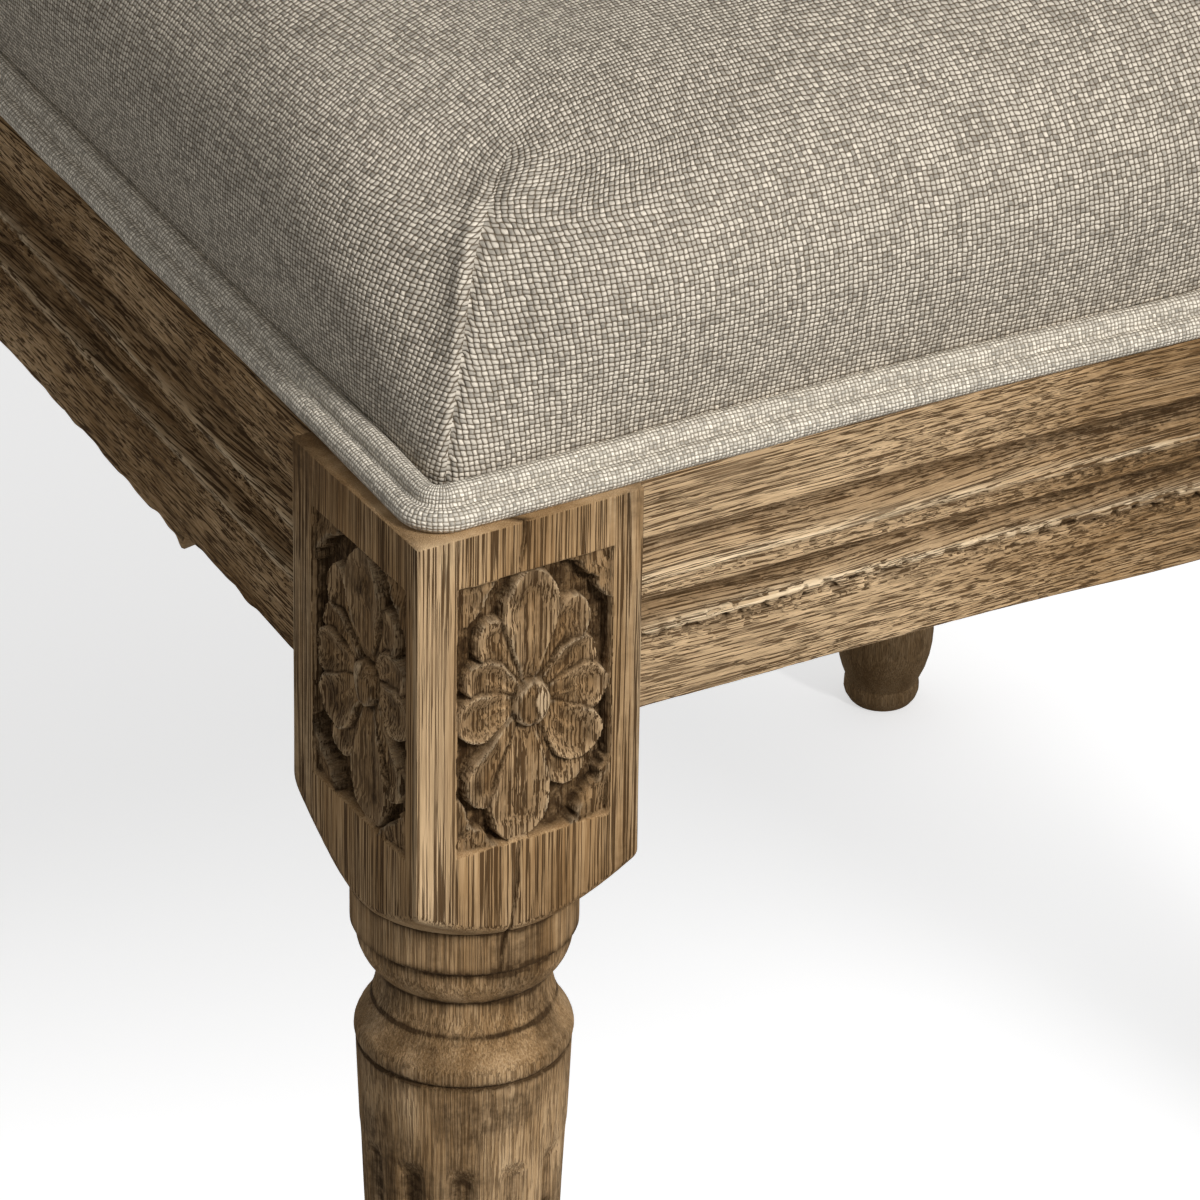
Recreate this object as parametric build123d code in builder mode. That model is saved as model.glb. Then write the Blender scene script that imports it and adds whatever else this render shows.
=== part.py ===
from build123d import *
from math import cos, radians, sin, sqrt, tan
import os

# Dining chair with turned and carved front legs, in millimetres.
# X is to the sitter's left, Y to the back, Z up; the origin is under the middle of the chair.

# Plan of the seat frame
frame_width = 480.0
leg_to_post = 442.0
post_spacing = 393.0
rail_top = 425.0

# Front leg
leg_block = 56.0
block_height = 104.0
shoulder_height = 14.5
shoulder_round = 6.0
shoulder_ledge = 0.8
collar_radius = 25.6
collar_height = 11.5
collar_lip = 1.4
ovolo_height = 10.5
neck_radius = 19.6
neck_fillet = 0.7
scotia_height = 15.0
ring_radius = 24.6
ring_height = 5.0
ring_bulge = 0.8
shaft_top_radius = 24.2
shaft_bottom_radius = 15.0
ankle_radius = 17.0
ankle_height = 6.0
cove_radius = 12.4
cove_height = 9.0
foot_radius = 14.4
foot_height = 34.0
toe_radius = 10.8
toe_height = 8.0
floor_radius = 8.5
inner_chamfer = 11.0

# Flutes of the front leg
flute_count = 12
flute_depth = 2.0
flute_share = 0.72
flute_top_gap = 24.0
flute_bottom_gap = 14.0

# Carved panel of the front leg
panel_width = 40.0
panel_height = 67.6
panel_top_margin = 12.4
panel_depth = 4.2
petal_relief = 3.3
long_petal = 29.0
long_petal_width = 15.0
slant_petal = 21.0
slant_petal_width = 11.0
slant_petal_angle = 50.0
side_petal = 14.0
side_petal_width = 10.0
side_petal_angle = 6.0
petal_start = 2.5
bud_radius = 3.6
bud_relief = 3.8
leaf_length = 12.0
leaf_width = 9.0
leaf_relief = 1.8

# Seat rails
rail_height = 57.0
rail_thickness = 26.0
rail_setback = 1.4
upper_band = 16.0
upper_groove = 9.5
upper_groove_depth = 3.2
middle_band = 6.5
middle_band_drop = 0.8
lower_groove = 6.5
lower_groove_depth = 2.6
lower_band_drop = 0.4
serpentine_angle = 3.8
serpentine_share = 0.61

# Joints
tenon_length = 22.0
post_tenon_length = 16.0
tenon_thickness = 11.0
tenon_height = 36.0
tenon_root = 3.0
joint_clearance = 0.2
mortise_relief = 1.0

# Back posts and back frame
post_width = 40.0
post_depth = 42.0
stile_depth = 32.0
leg_rake = 4.0
post_slimness = 0.76
back_rake = 9.0
bend_above_rail = 20.0
stile_blend = 60.0
stile_length = 556.0
bend_round = 160.0
lower_rail_start = 122.0
lower_rail_height = 42.0
crest_height = 52.0
crest_rise = 14.0
frame_groove_radius = 2.2
frame_groove_inset = 9.5
small_tenon_height = 24.0
rebate_width = 12.0
rebate_depth = 6.0
rear_rebate_depth = 5.0
finial_height = 10.0

# Corner blocks and screws
corner_thickness = 22.0
corner_height = 38.0
corner_drop = 9.0
screw_head_radius = 4.6
screw_head_height = 3.2
screw_radius = 2.3
screw_depth = 17.0
post_screw_depth = 12.0
screw_clearance = 0.1

# Seat upholstery
cord_radius = 2.7
cord_inset = 4.0
cord_step_in = 4.0
cord_step_up = 3.4
welt_gap = 0.3
crown_height = 90.0
crown_run_share = 0.3
cover_thickness = 1.2
foam_gap = 0.3
seat_corner_radius = 8.0
corner_growth = 0.22
post_notch_gap = 0.6
strap_width = 50.0
strap_thickness = 2.0
strap_count = 5
strap_margin = 16.0
hessian_thickness = 1.0
dust_thickness = 0.8
dust_inset = 9.0
dust_gap = 1.0

# Back upholstery
back_strap_count = 4
back_crown = 30.0
back_run = 75.0
rear_crown = 4.0
rear_run = 18.0
back_fit = 1.0
back_corner_radius = 6.0

# How the seat and the back round over: shares of their run in from the edge and of their rise
seat_shape = (
    (0.0, 0.0),
    (0.010, 0.305),
    (0.056, 0.590),
    (0.190, 0.775),
    (0.365, 0.882),
    (0.565, 0.954),
    (0.780, 0.991),
    (1.0, 1.0),
)
back_shape = (
    (0.0, 0.0),
    (0.027, 0.253),
    (0.107, 0.481),
    (0.227, 0.652),
    (0.387, 0.785),
    (0.573, 0.886),
    (0.773, 0.956),
    (1.0, 1.0),
)

# Places worked out from the sizes above
half_block = leg_block / 2
half_width = frame_width / 2
leg_x = half_width - half_block
post_x = post_spacing / 2
post_outer = post_x + post_width / 2
post_inner = post_x - post_width / 2
block_bottom = rail_top - block_height
rail_bottom = rail_top - rail_height
front_span = leg_x - half_block
serpentine_lead = front_span / sin(radians(serpentine_angle)) * (1 - cos(radians(serpentine_angle)))
moulded_layer = serpentine_lead + upper_groove_depth + 2.0
front_lead = max(0.0, serpentine_lead - rail_setback)
lean = sin(radians(back_rake))
upright = cos(radians(back_rake))
crest_reach = (stile_length + crest_rise) * lean + stile_depth / 2 * upright
welt_top = stile_length - crest_height + rebate_width
welt_stand = stile_depth / 2 + cord_radius + cord_step_up
welt_reach = welt_top * lean + welt_stand * upright + cord_radius
overall_depth = front_lead + half_block + leg_to_post + max(crest_reach, welt_reach)
leg_y = -overall_depth / 2 + front_lead + half_block
post_y = leg_y + leg_to_post
face_y = leg_y - half_block
post_front = post_y - post_depth / 2
post_rear = post_y + post_depth / 2
bend_z = rail_top + bend_above_rail

standing = (Align.CENTER, Align.CENTER, Align.MIN)


def save(piece, name):
    piece.part.label = name
    export_step(piece.part, "parts/" + name + ".step")


def turned_profile(axis_plane, length, slim=1.0):
    """Half section of a turned leg, from the collar top at the plane's origin down to the floor."""
    collar = collar_radius * slim
    neck = neck_radius * slim
    ring = ring_radius * slim
    shaft_top = shaft_top_radius * slim
    ovolo_top = -collar_height
    ovolo_end = ovolo_top - ovolo_height
    ring_top = ovolo_end - scotia_height
    ring_end = ring_top - ring_height
    foot_top = -length + foot_height
    cove_top = foot_top + cove_height
    ankle_top = cove_top + ankle_height
    ovolo_start = collar - collar_lip
    ovolo_stop = neck + neck_fillet
    ring_edge = ring - ring_bulge
    with BuildSketch(axis_plane) as profile:
        with BuildLine():
            Polyline(
                (0, ovolo_top),
                (0, 0),
                (collar, 0),
                (collar, ovolo_top),
                (ovolo_start, ovolo_top),
            )
            ThreePointArc(
                (ovolo_start, ovolo_top),
                (ovolo_start - 0.22 * (ovolo_start - ovolo_stop), ovolo_top - 0.62 * ovolo_height),
                (ovolo_stop, ovolo_end),
            )
            Line((ovolo_stop, ovolo_end), (neck, ovolo_end))
            ThreePointArc(
                (neck, ovolo_end),
                (neck + 0.2 * (ring_edge - neck), ovolo_end - 0.55 * scotia_height),
                (ring_edge, ring_top),
            )
            ThreePointArc(
                (ring_edge, ring_top),
                (ring, ring_top - ring_height / 2),
                (ring_edge, ring_end),
            )
            Polyline((ring_edge, ring_end), (shaft_top, ring_end), (shaft_bottom_radius, ankle_top))
            ThreePointArc(
                (shaft_bottom_radius, ankle_top),
                (ankle_radius, ankle_top - ankle_height / 2),
                (shaft_bottom_radius, cove_top),
            )
            ThreePointArc(
                (shaft_bottom_radius, cove_top),
                (cove_radius, cove_top - 0.55 * cove_height),
                (foot_radius - 1, foot_top),
            )
            ThreePointArc(
                (foot_radius - 1, foot_top),
                (foot_radius, foot_top - 0.2 * foot_height),
                (toe_radius, -length + toe_height),
            )
            ThreePointArc(
                (toe_radius, -length + toe_height),
                (toe_radius + 0.4, -length + 0.45 * toe_height),
                (floor_radius, -length),
            )
            Polyline((floor_radius, -length), (0, -length), (0, ovolo_top))
        make_face()
    return profile.sketch


def shoulder_waste(axis_plane, corner_radius, collar):
    """Half section of what the lathe takes off a square block's corners above the collar."""
    rim = corner_radius + shoulder_round
    top = shoulder_height + shoulder_round
    with BuildSketch(axis_plane) as profile:
        with BuildLine():
            FilletPolyline(
                (collar + shoulder_ledge, 0),
                (corner_radius, shoulder_height),
                (corner_radius, top),
                radius=shoulder_round,
            )
            Polyline((corner_radius, top), (rim, top), (rim, 0), (collar + shoulder_ledge, 0))
        make_face()
    return profile.sketch


def petal(length, width, relief):
    """A mound of the given visible length, width and height, lying along X from petal_start."""
    half_depth = ((width / 2) ** 2 / relief + relief) / 2
    sink = half_depth - relief
    half_length = length / 2 * half_depth / (width / 2)
    with BuildPart() as mound:
        with BuildSketch(Plane.XZ):
            Ellipse(half_length, half_depth)
            Rectangle(2 * half_length, half_depth, align=(Align.CENTER, Align.MAX), mode=Mode.SUBTRACT)
        revolve(axis=Axis.X)
    return mound.part.moved(Location((petal_start + length / 2, 0, -sink)))


def rosette():
    """The carved flower, on the floor of its panel, with the panel's height along Y."""
    tall = petal(long_petal, long_petal_width, petal_relief)
    slant = petal(slant_petal, slant_petal_width, petal_relief * 0.9)
    side = petal(side_petal, side_petal_width, petal_relief * 0.8)
    leaf = petal(leaf_length, leaf_width, leaf_relief)
    leaf_shift = sqrt((panel_width / 2) ** 2 + (panel_height / 2) ** 2) - leaf_length - petal_start
    with BuildPart() as flower:
        for angle in (90, -90):
            with Locations(Location((0, 0, 0), (0, 0, angle))):
                add(tall)
        for angle in (slant_petal_angle, 180 - slant_petal_angle):
            with Locations(Location((0, 0, 0), (0, 0, angle)), Location((0, 0, 0), (0, 0, -angle))):
                add(slant)
        for angle in (side_petal_angle, 180 - side_petal_angle):
            with Locations(Location((0, 0, 0), (0, 0, angle))):
                add(side)
        corner_angle = 60.0
        for angle in (corner_angle, 180 - corner_angle, 180 + corner_angle, -corner_angle):
            place = (leaf_shift * cos(radians(angle)), leaf_shift * sin(radians(angle)), 0)
            with Locations(Location(place, (0, 0, angle))):
                add(leaf)
        with Locations((0, 0, bud_relief - bud_radius)):
            Sphere(bud_radius)
        split(bisect_by=Plane.XY.offset(-1.0), keep=Keep.TOP)
    return flower.part


def flute(length):
    """Cutter for one flute, beside an upright axis whose collar top is at the origin."""
    start = collar_height + ovolo_height + scotia_height + ring_height
    end = length - foot_height - cove_height - ankle_height
    taper = (shaft_top_radius - shaft_bottom_radius) / (end - start)
    spots = []
    for drop in (start + flute_top_gap, end - flute_bottom_gap):
        shaft = shaft_top_radius - taper * (drop - start)
        half_flute = flute_share * 3.1416 * shaft / flute_count
        cutter = (half_flute**2 / flute_depth + flute_depth) / 2
        spots.append((shaft + cutter - flute_depth, -drop, cutter))
    (top_x, top_z, top_cut), (low_x, low_z, low_cut) = spots
    run = sqrt((top_x - low_x) ** 2 + (top_z - low_z) ** 2)
    cut_plane = Plane(origin=(top_x, 0, top_z), x_dir=(low_x - top_x, 0, low_z - top_z), z_dir=(0, 1, 0))
    with BuildPart() as cutter_part:
        with BuildSketch(cut_plane):
            with BuildLine():
                Line((-top_cut, 0), (run + low_cut, 0))
                ThreePointArc((-top_cut, 0), (-top_cut * 0.7071, top_cut * 0.7071), (0, top_cut))
                Line((0, top_cut), (run, low_cut))
                ThreePointArc((run, low_cut), (run + low_cut * 0.7071, low_cut * 0.7071), (run + low_cut, 0))
            make_face()
        revolve(axis=Axis((top_x, 0, top_z), (low_x - top_x, 0, low_z - top_z)))
    return cutter_part.part


def tenon(end_plane, height, length, grow=0.0, extra=0.0):
    """A tenon standing out of a rail end; grown a little, it is the cutter of its mortise."""
    with BuildPart(end_plane) as peg:
        with Locations((0, 0, -tenon_root)):
            Box(tenon_thickness + 2 * grow, height + 2 * grow, tenon_root + length + extra, align=standing)
    return peg.part


def mortise(end_plane, height, length):
    return tenon(end_plane, height, length, joint_clearance, mortise_relief)


def rail_section(section_plane, layer):
    """Moulded outer layer of a seat rail: X outward from the face, Y down from the rail top."""
    groove_start = upper_band
    groove_end = groove_start + upper_groove
    bead_end = groove_end + middle_band
    low_start = bead_end + lower_groove
    with BuildSketch(section_plane) as section:
        with BuildLine():
            Polyline((-layer, rail_height), (-layer, 0), (0, 0), (0, groove_start))
            ThreePointArc(
                (0, groove_start),
                (-upper_groove_depth, groove_start + upper_groove * 0.45),
                (-middle_band_drop, groove_end),
            )
            Line((-middle_band_drop, groove_end), (-middle_band_drop, bead_end))
            ThreePointArc(
                (-middle_band_drop, bead_end),
                (-lower_groove_depth, bead_end + lower_groove * 0.45),
                (-lower_band_drop, low_start),
            )
            Polyline((-lower_band_drop, low_start), (-lower_band_drop, rail_height), (-layer, rail_height))
        make_face()
    return section.sketch


def serpentine(start, span):
    """Three tangent arcs of a serpentine front, from start to the point 2 * span along X."""
    bend = serpentine_angle
    hollow = serpentine_share * span / sin(radians(bend))
    swell = (1 - serpentine_share) * span / sin(radians(bend))
    first = JernArc(start, (1, 0), hollow, -bend)
    second = JernArc(first @ 1, first % 1, swell, 2 * bend)
    JernArc(second @ 1, second % 1, hollow, -bend)


def side_line(inset, y):
    """Half width of the seat frame's outline at a depth, drawn in from its edge by inset."""
    splay = (half_width - post_outer) / (post_rear - face_y)
    return half_width - (y - face_y) * splay - inset * sqrt(1 + splay**2)


def seat_outline(inset, lift, corner_radius):
    """The seat's plan, drawn in by inset and lifted above the rails, with rounded corners."""
    front = face_y + inset
    rear = post_rear - inset
    half_front = side_line(inset, front)
    half_rear = side_line(inset, rear)
    span = max(0.3 * half_front, half_front - leg_block - 0.5 * inset)
    with BuildSketch(Plane.XY.offset(rail_top + lift)) as outline:
        with BuildLine():
            Line((-half_front, front), (-span, front))
            serpentine((-span, front), span)
            Polyline(
                (span, front),
                (half_front, front),
                (half_rear, rear),
                (-half_rear, rear),
                (-half_front, front),
            )
        make_face()
        fillet(outline.vertices().sort_by(Axis.Y)[-2:], corner_radius)
        fillet([outline.vertices().sort_by(Axis.X)[0], outline.vertices().sort_by(Axis.X)[-1]], corner_radius)
    return outline.sketch


def cushion(shrink, floor_lift):
    """The crowned seat, drawn in all round by shrink and standing on a plane above the rails."""
    foot = cord_inset + cord_step_in + cord_radius + welt_gap + shrink
    with BuildPart() as pad:
        for run, rise in seat_shape:
            inset = run * crown_run_share * frame_width
            lift = rise * (crown_height - shrink)
            add(seat_outline(foot + inset, lift, seat_corner_radius + corner_growth * inset))
        loft()
        if floor_lift > 0:
            split(bisect_by=Plane.XY.offset(rail_top + floor_lift), keep=Keep.TOP)
        add(post_notches(post_notch_gap + shrink), mode=Mode.SUBTRACT)
    return pad.part


def post_notches(gap):
    """Room for the two back posts at the rear corners of the seat."""
    with BuildPart() as room:
        for side, align in ((-1, Align.MAX), (1, Align.MIN)):
            with Locations((side * (post_inner - gap), post_front - gap, rail_top)):
                Box(frame_width, frame_width, frame_width, align=(align, Align.MIN, Align.CENTER))
    return room.part


def double_welt(path, center, up):
    """Two cords side by side along a closed path: the path's own, and one above and inside it."""
    start = path @ 0
    along = path % 0
    side = along.cross(up)
    inward = -1 if side.dot(start - center) > 0 else 1
    with BuildPart() as welt:
        with BuildSketch(Plane(origin=start, x_dir=up, z_dir=along)):
            Circle(cord_radius)
            with Locations((cord_step_up, inward * cord_step_in)):
                Circle(cord_radius)
        sweep(path=path)
    return welt.part


def back_pad(base_plane, direction, run_in, rise, shrink):
    """A crowned pad on the back frame, drawn in all round and lowered by shrink."""
    with BuildPart() as pad:
        for run_share, rise_share in back_shape:
            inset = run_share * run_in
            with BuildSketch(base_plane.offset(direction * rise_share * (rise - shrink))):
                with Locations((0, opening_mid)):
                    RectangleRounded(
                        pad_width - 2 * (inset + shrink),
                        pad_height - 2 * (inset + shrink),
                        back_corner_radius + corner_growth * inset,
                    )
        loft()
    return pad.part


os.makedirs("parts", exist_ok=True)

# Rail ends, where each tenon stands out of its rail
rail_mid = rail_top - rail_height / 2
tenon_line = rail_setback + rail_thickness / 2
front_joint = Plane(
    origin=(-front_span, face_y + tenon_line, rail_mid),
    x_dir=(0, 1, 0),
    z_dir=(-1, 0, 0),
)
side_front = Vector(-half_width + rail_setback, leg_y + half_block, rail_top)
side_back = Vector(-post_outer + rail_setback, post_front, rail_top)
side_run = (side_back - side_front).normalized()
side_inward = Vector(side_run.Y, -side_run.X, 0)
drop_to_mid = Vector(0, 0, -rail_height / 2)
side_center = side_inward * (rail_thickness / 2) + drop_to_mid
side_front_joint = Plane(origin=side_front + side_center, x_dir=side_inward, z_dir=-side_run)
side_back_joint = Plane(origin=side_back + side_center, x_dir=side_inward, z_dir=side_run)
back_rail_y = post_rear - rail_setback - rail_thickness / 2
back_joint = Plane(origin=(-post_inner, back_rail_y, rail_mid), x_dir=(0, 1, 0), z_dir=(-1, 0, 0))

# The raked plane of the back: X across, Y up along the stiles, Z forward
rake_up = Vector(0, lean, upright)
rake_front = Vector(0, -upright, lean)
bend_point = Vector(0, post_y, bend_z)
back_plane = Plane(origin=bend_point, x_dir=(1, 0, 0), z_dir=rake_front)
lower_mid = lower_rail_start + lower_rail_height / 2
opening_bottom = lower_rail_start + lower_rail_height
opening_top = stile_length - crest_height
opening_mid = (opening_bottom + opening_top) / 2
opening_height = opening_top - opening_bottom
opening_width = 2 * post_inner
pad_width = opening_width + 2 * (rebate_width - back_fit)
pad_height = opening_height + 2 * (rebate_width - back_fit)
crest_mid = opening_top + crest_height / 2
lower_joint = Plane(
    origin=bend_point + rake_up * lower_mid + Vector(-post_inner, 0, 0),
    x_dir=rake_front,
    z_dir=(-1, 0, 0),
)
crest_joint = Plane(
    origin=bend_point + rake_up * crest_mid + Vector(-post_inner, 0, 0),
    x_dir=rake_front,
    z_dir=(-1, 0, 0),
)

# Rebates round the opening of the back, and the groove that frames it
front_floor = stile_depth / 2 - rebate_depth
rear_floor = stile_depth / 2 - rear_rebate_depth
with BuildPart() as back_rebates:
    with BuildSketch(back_plane.offset(front_floor)):
        with Locations((0, opening_mid)):
            Rectangle(opening_width + 2 * rebate_width, opening_height + 2 * rebate_width)
    extrude(amount=stile_depth)
    with BuildSketch(back_plane.offset(-rear_floor)):
        with Locations((0, opening_mid)):
            Rectangle(opening_width + 2 * rebate_width, opening_height + 2 * rebate_width)
    extrude(amount=-stile_depth)

# Corner screws: head toward the middle of the seat, shank through the block into the leg
block_spot = half_block - inner_chamfer / 2
post_spot_x = post_width / 2 - inner_chamfer / 2
post_spot_y = post_depth / 2 - inner_chamfer / 2
corner_z = rail_top - corner_drop - corner_height / 2


def corner_screw(x, y, inward, depth, grow=0.0):
    """A countersunk screw whose shank enters a leg at x, y; grown, it is the cutter of its hole."""
    axis_plane = Plane(origin=(x, y, corner_z), x_dir=(0, 0, 1), z_dir=(-inward.Y, inward.X, 0))
    head = screw_head_radius + grow
    shank = screw_radius + grow
    with BuildPart() as screw:
        with BuildSketch(axis_plane):
            with BuildLine():
                Polyline(
                    (0, -depth - grow),
                    (shank * 0.5, -depth - grow),
                    (shank, -depth + 4),
                    (shank, corner_thickness - screw_head_height),
                    (head, corner_thickness),
                    (0, corner_thickness),
                    close=True,
                )
            make_face()
        revolve(axis=Axis((x, y, corner_z), inward))
    return screw.part


leg_inward = Vector(1, 1, 0).normalized()
post_inward = Vector(1, -1, 0).normalized()
leg_spot = (-leg_x + block_spot, leg_y + block_spot)
post_spot = (-post_x + post_spot_x, post_y - post_spot_y)
front_screw = corner_screw(*leg_spot, leg_inward, screw_depth)
front_screw_hole = corner_screw(*leg_spot, leg_inward, screw_depth, screw_clearance)
back_screw = corner_screw(*post_spot, post_inward, post_screw_depth)
back_screw_hole = corner_screw(*post_spot, post_inward, post_screw_depth, screw_clearance)

# Front legs: carved square block above, turned and fluted below, from one piece
leg_axis = Plane(origin=(-leg_x, leg_y, block_bottom), x_dir=(1, 0, 0), z_dir=(0, -1, 0))
panel_mid = rail_top - panel_top_margin - panel_height / 2
front_panel = Plane(origin=(-leg_x, face_y, panel_mid), x_dir=(1, 0, 0), z_dir=(0, -1, 0))
side_panel = Plane(origin=(-half_width, leg_y, panel_mid), x_dir=(0, -1, 0), z_dir=(-1, 0, 0))
flower = rosette()
flute_cutter = flute(block_bottom)

with BuildPart() as front_leg_left:
    with BuildSketch(Plane(origin=(-leg_x, leg_y, block_bottom))):
        Rectangle(leg_block, leg_block)
    extrude(amount=block_height)
    inner_edge = front_leg_left.edges().filter_by(Axis.Z).sort_by(Axis.Y)[-2:].sort_by(Axis.X)[-1]
    chamfer(inner_edge, inner_chamfer)
    revolve(
        shoulder_waste(leg_axis, half_block * sqrt(2), collar_radius),
        axis=Axis(leg_axis.origin, (0, 0, 1)),
        mode=Mode.SUBTRACT,
    )
    for panel in (front_panel, side_panel):
        with BuildSketch(panel):
            Rectangle(panel_width, panel_height)
        extrude(amount=-panel_depth, mode=Mode.SUBTRACT)
        with Locations(panel.offset(-panel_depth)):
            add(flower)
    revolve(turned_profile(leg_axis, block_bottom), axis=Axis(leg_axis.origin, (0, 0, 1)))
    with Locations((-leg_x, leg_y, block_bottom)):
        with PolarLocations(0, flute_count):
            add(flute_cutter, mode=Mode.SUBTRACT)
    add(mortise(front_joint, tenon_height, tenon_length), mode=Mode.SUBTRACT)
    add(mortise(side_front_joint, tenon_height, tenon_length), mode=Mode.SUBTRACT)
    add(front_screw_hole, mode=Mode.SUBTRACT)
save(front_leg_left, "front_leg_left")

with BuildPart() as front_leg_right:
    mirror(front_leg_left.part, about=Plane.YZ)
save(front_leg_right, "front_leg_right")

# Back posts: turned and raked leg, square block, and stile leaning back, from one piece
foot_lean = Vector(0, -sin(radians(leg_rake)), cos(radians(leg_rake)))
post_turning = Plane(
    origin=(-post_x, post_y, block_bottom),
    x_dir=(1, 0, 0),
    z_dir=(0, -cos(radians(leg_rake)), -sin(radians(leg_rake))),
)
post_axis = Plane(origin=(-post_x, post_y, block_bottom), x_dir=(1, 0, 0), z_dir=(0, -1, 0))
post_leg_length = block_bottom / cos(radians(leg_rake)) + floor_radius * tan(radians(leg_rake))
stile_start = bend_point + rake_up * stile_blend
stile_end = bend_point + rake_up * stile_length
half_stile = rake_front * (stile_depth / 2)

with BuildPart() as back_post_left:
    with BuildSketch(Plane.YZ.offset(-post_outer)) as post_side:
        with BuildLine():
            Polyline(
                (post_front, block_bottom),
                (post_rear, block_bottom),
                (post_rear, bend_z - stile_blend / 3),
                ((stile_start - half_stile).Y, (stile_start - half_stile).Z),
                ((stile_end - half_stile).Y, (stile_end - half_stile).Z),
                ((stile_end + half_stile).Y, (stile_end + half_stile).Z),
                ((stile_start + half_stile).Y, (stile_start + half_stile).Z),
                (post_front, bend_z - stile_blend / 3),
                close=True,
            )
        make_face()
        bend_top = bend_z + 2 * stile_blend
        bends = post_side.vertices().filter_by_position(Axis.Y, bend_z - stile_blend, bend_top)
        fillet(bends, bend_round)
    extrude(amount=post_width)
    inner_edges = back_post_left.edges().filter_by(Axis.Z).sort_by(Axis.X)[-2:]
    chamfer(inner_edges.sort_by(Axis.Y)[0], inner_chamfer)
    with BuildSketch(Plane(origin=stile_end - Vector(post_x, 0, 0), x_dir=(1, 0, 0), z_dir=rake_up)):
        Rectangle(post_width, stile_depth)
    extrude(amount=finial_height, taper=50)
    revolve(
        shoulder_waste(post_axis, sqrt(post_width**2 + post_depth**2) / 2, collar_radius * post_slimness),
        axis=Axis(post_axis.origin, (0, 0, 1)),
        mode=Mode.SUBTRACT,
    )
    revolve(
        turned_profile(post_turning, post_leg_length, post_slimness),
        axis=Axis(post_turning.origin, foot_lean),
    )
    split(bisect_by=Plane.XY, keep=Keep.TOP)
    add(mortise(side_back_joint, tenon_height, post_tenon_length), mode=Mode.SUBTRACT)
    add(mortise(back_joint, tenon_height, post_tenon_length), mode=Mode.SUBTRACT)
    add(mortise(lower_joint, small_tenon_height, post_tenon_length), mode=Mode.SUBTRACT)
    add(mortise(crest_joint, small_tenon_height, post_tenon_length), mode=Mode.SUBTRACT)
    add(back_rebates.part, mode=Mode.SUBTRACT)
    add(back_screw_hole, mode=Mode.SUBTRACT)
save(back_post_left, "back_post_left")

with BuildPart() as back_post_right:
    mirror(back_post_left.part, about=Plane.YZ)
save(back_post_right, "back_post_right")

# Seat rails: moulded faces, the front one serpentine, with tenons at both ends
rail_face = face_y + rail_setback
with BuildPart() as front_rail:
    with BuildLine(Plane.XY.offset(rail_top)) as front_path:
        serpentine((-front_span, rail_face), front_span)
    front_end = Plane(origin=(-front_span, rail_face, rail_top), x_dir=(0, -1, 0), z_dir=(1, 0, 0))
    sweep(rail_section(front_end, moulded_layer), path=front_path.line)
    with Locations((0, rail_face + upper_groove_depth + 1, rail_bottom)):
        Box(
            2 * front_span,
            rail_thickness - upper_groove_depth - 1,
            rail_height,
            align=(Align.CENTER, Align.MIN, Align.MIN),
        )
    front_tenon = tenon(front_joint, tenon_height, tenon_length)
    add(front_tenon)
    mirror(front_tenon, about=Plane.YZ)
save(front_rail, "front_rail")

side_end = Plane(
    origin=side_back + side_run * rail_thickness,
    x_dir=-side_inward,
    z_dir=-side_run,
)
with BuildPart() as side_rail_left:
    rail_run = (side_back - side_front).length + 2 * rail_thickness
    extrude(rail_section(side_end, rail_thickness), amount=rail_run, dir=-side_run)
    split(bisect_by=Plane(origin=side_front, z_dir=(0, 1, 0)), keep=Keep.TOP)
    split(bisect_by=Plane(origin=side_back, z_dir=(0, -1, 0)), keep=Keep.TOP)
    add(tenon(side_front_joint, tenon_height, tenon_length))
    add(tenon(side_back_joint, tenon_height, post_tenon_length))
save(side_rail_left, "side_rail_left")

with BuildPart() as side_rail_right:
    mirror(side_rail_left.part, about=Plane.YZ)
save(side_rail_right, "side_rail_right")

with BuildPart() as back_rail:
    with Locations((0, back_rail_y, rail_mid)):
        Box(2 * post_inner, rail_thickness, rail_height)
    back_tenon = tenon(back_joint, tenon_height, post_tenon_length)
    add(back_tenon)
    mirror(back_tenon, about=Plane.YZ)
save(back_rail, "back_rail")

# Crest rail and lower rail of the back, rebated for the upholstery
with BuildPart() as frame_groove:
    with BuildLine(back_plane.offset(stile_depth / 2)) as groove_path:
        groove_half_width = opening_width / 2 + rebate_width + frame_groove_inset
        groove_half_height = opening_height / 2 + rebate_width + frame_groove_inset
        Polyline(
            (0, opening_mid - groove_half_height),
            (groove_half_width, opening_mid - groove_half_height),
            (groove_half_width, opening_mid + groove_half_height),
            (-groove_half_width, opening_mid + groove_half_height),
            (-groove_half_width, opening_mid - groove_half_height),
            close=True,
        )
    with BuildSketch(Plane(origin=groove_path.line @ 0, z_dir=(1, 0, 0))):
        Circle(frame_groove_radius)
    sweep(transition=Transition.RIGHT)

with BuildPart() as crest_rail:
    with BuildSketch(back_plane.offset(-stile_depth / 2)):
        with BuildLine():
            ThreePointArc(
                (-post_inner, stile_length),
                (0, stile_length + crest_rise),
                (post_inner, stile_length),
            )
            Polyline(
                (post_inner, stile_length),
                (post_inner, opening_top),
                (-post_inner, opening_top),
                (-post_inner, stile_length),
            )
        make_face()
    extrude(amount=stile_depth)
    crest_tenon = tenon(crest_joint, small_tenon_height, post_tenon_length)
    add(crest_tenon)
    mirror(crest_tenon, about=Plane.YZ)
    add(back_rebates.part, mode=Mode.SUBTRACT)
    add(frame_groove.part, mode=Mode.SUBTRACT)
save(crest_rail, "crest_rail")

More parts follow.
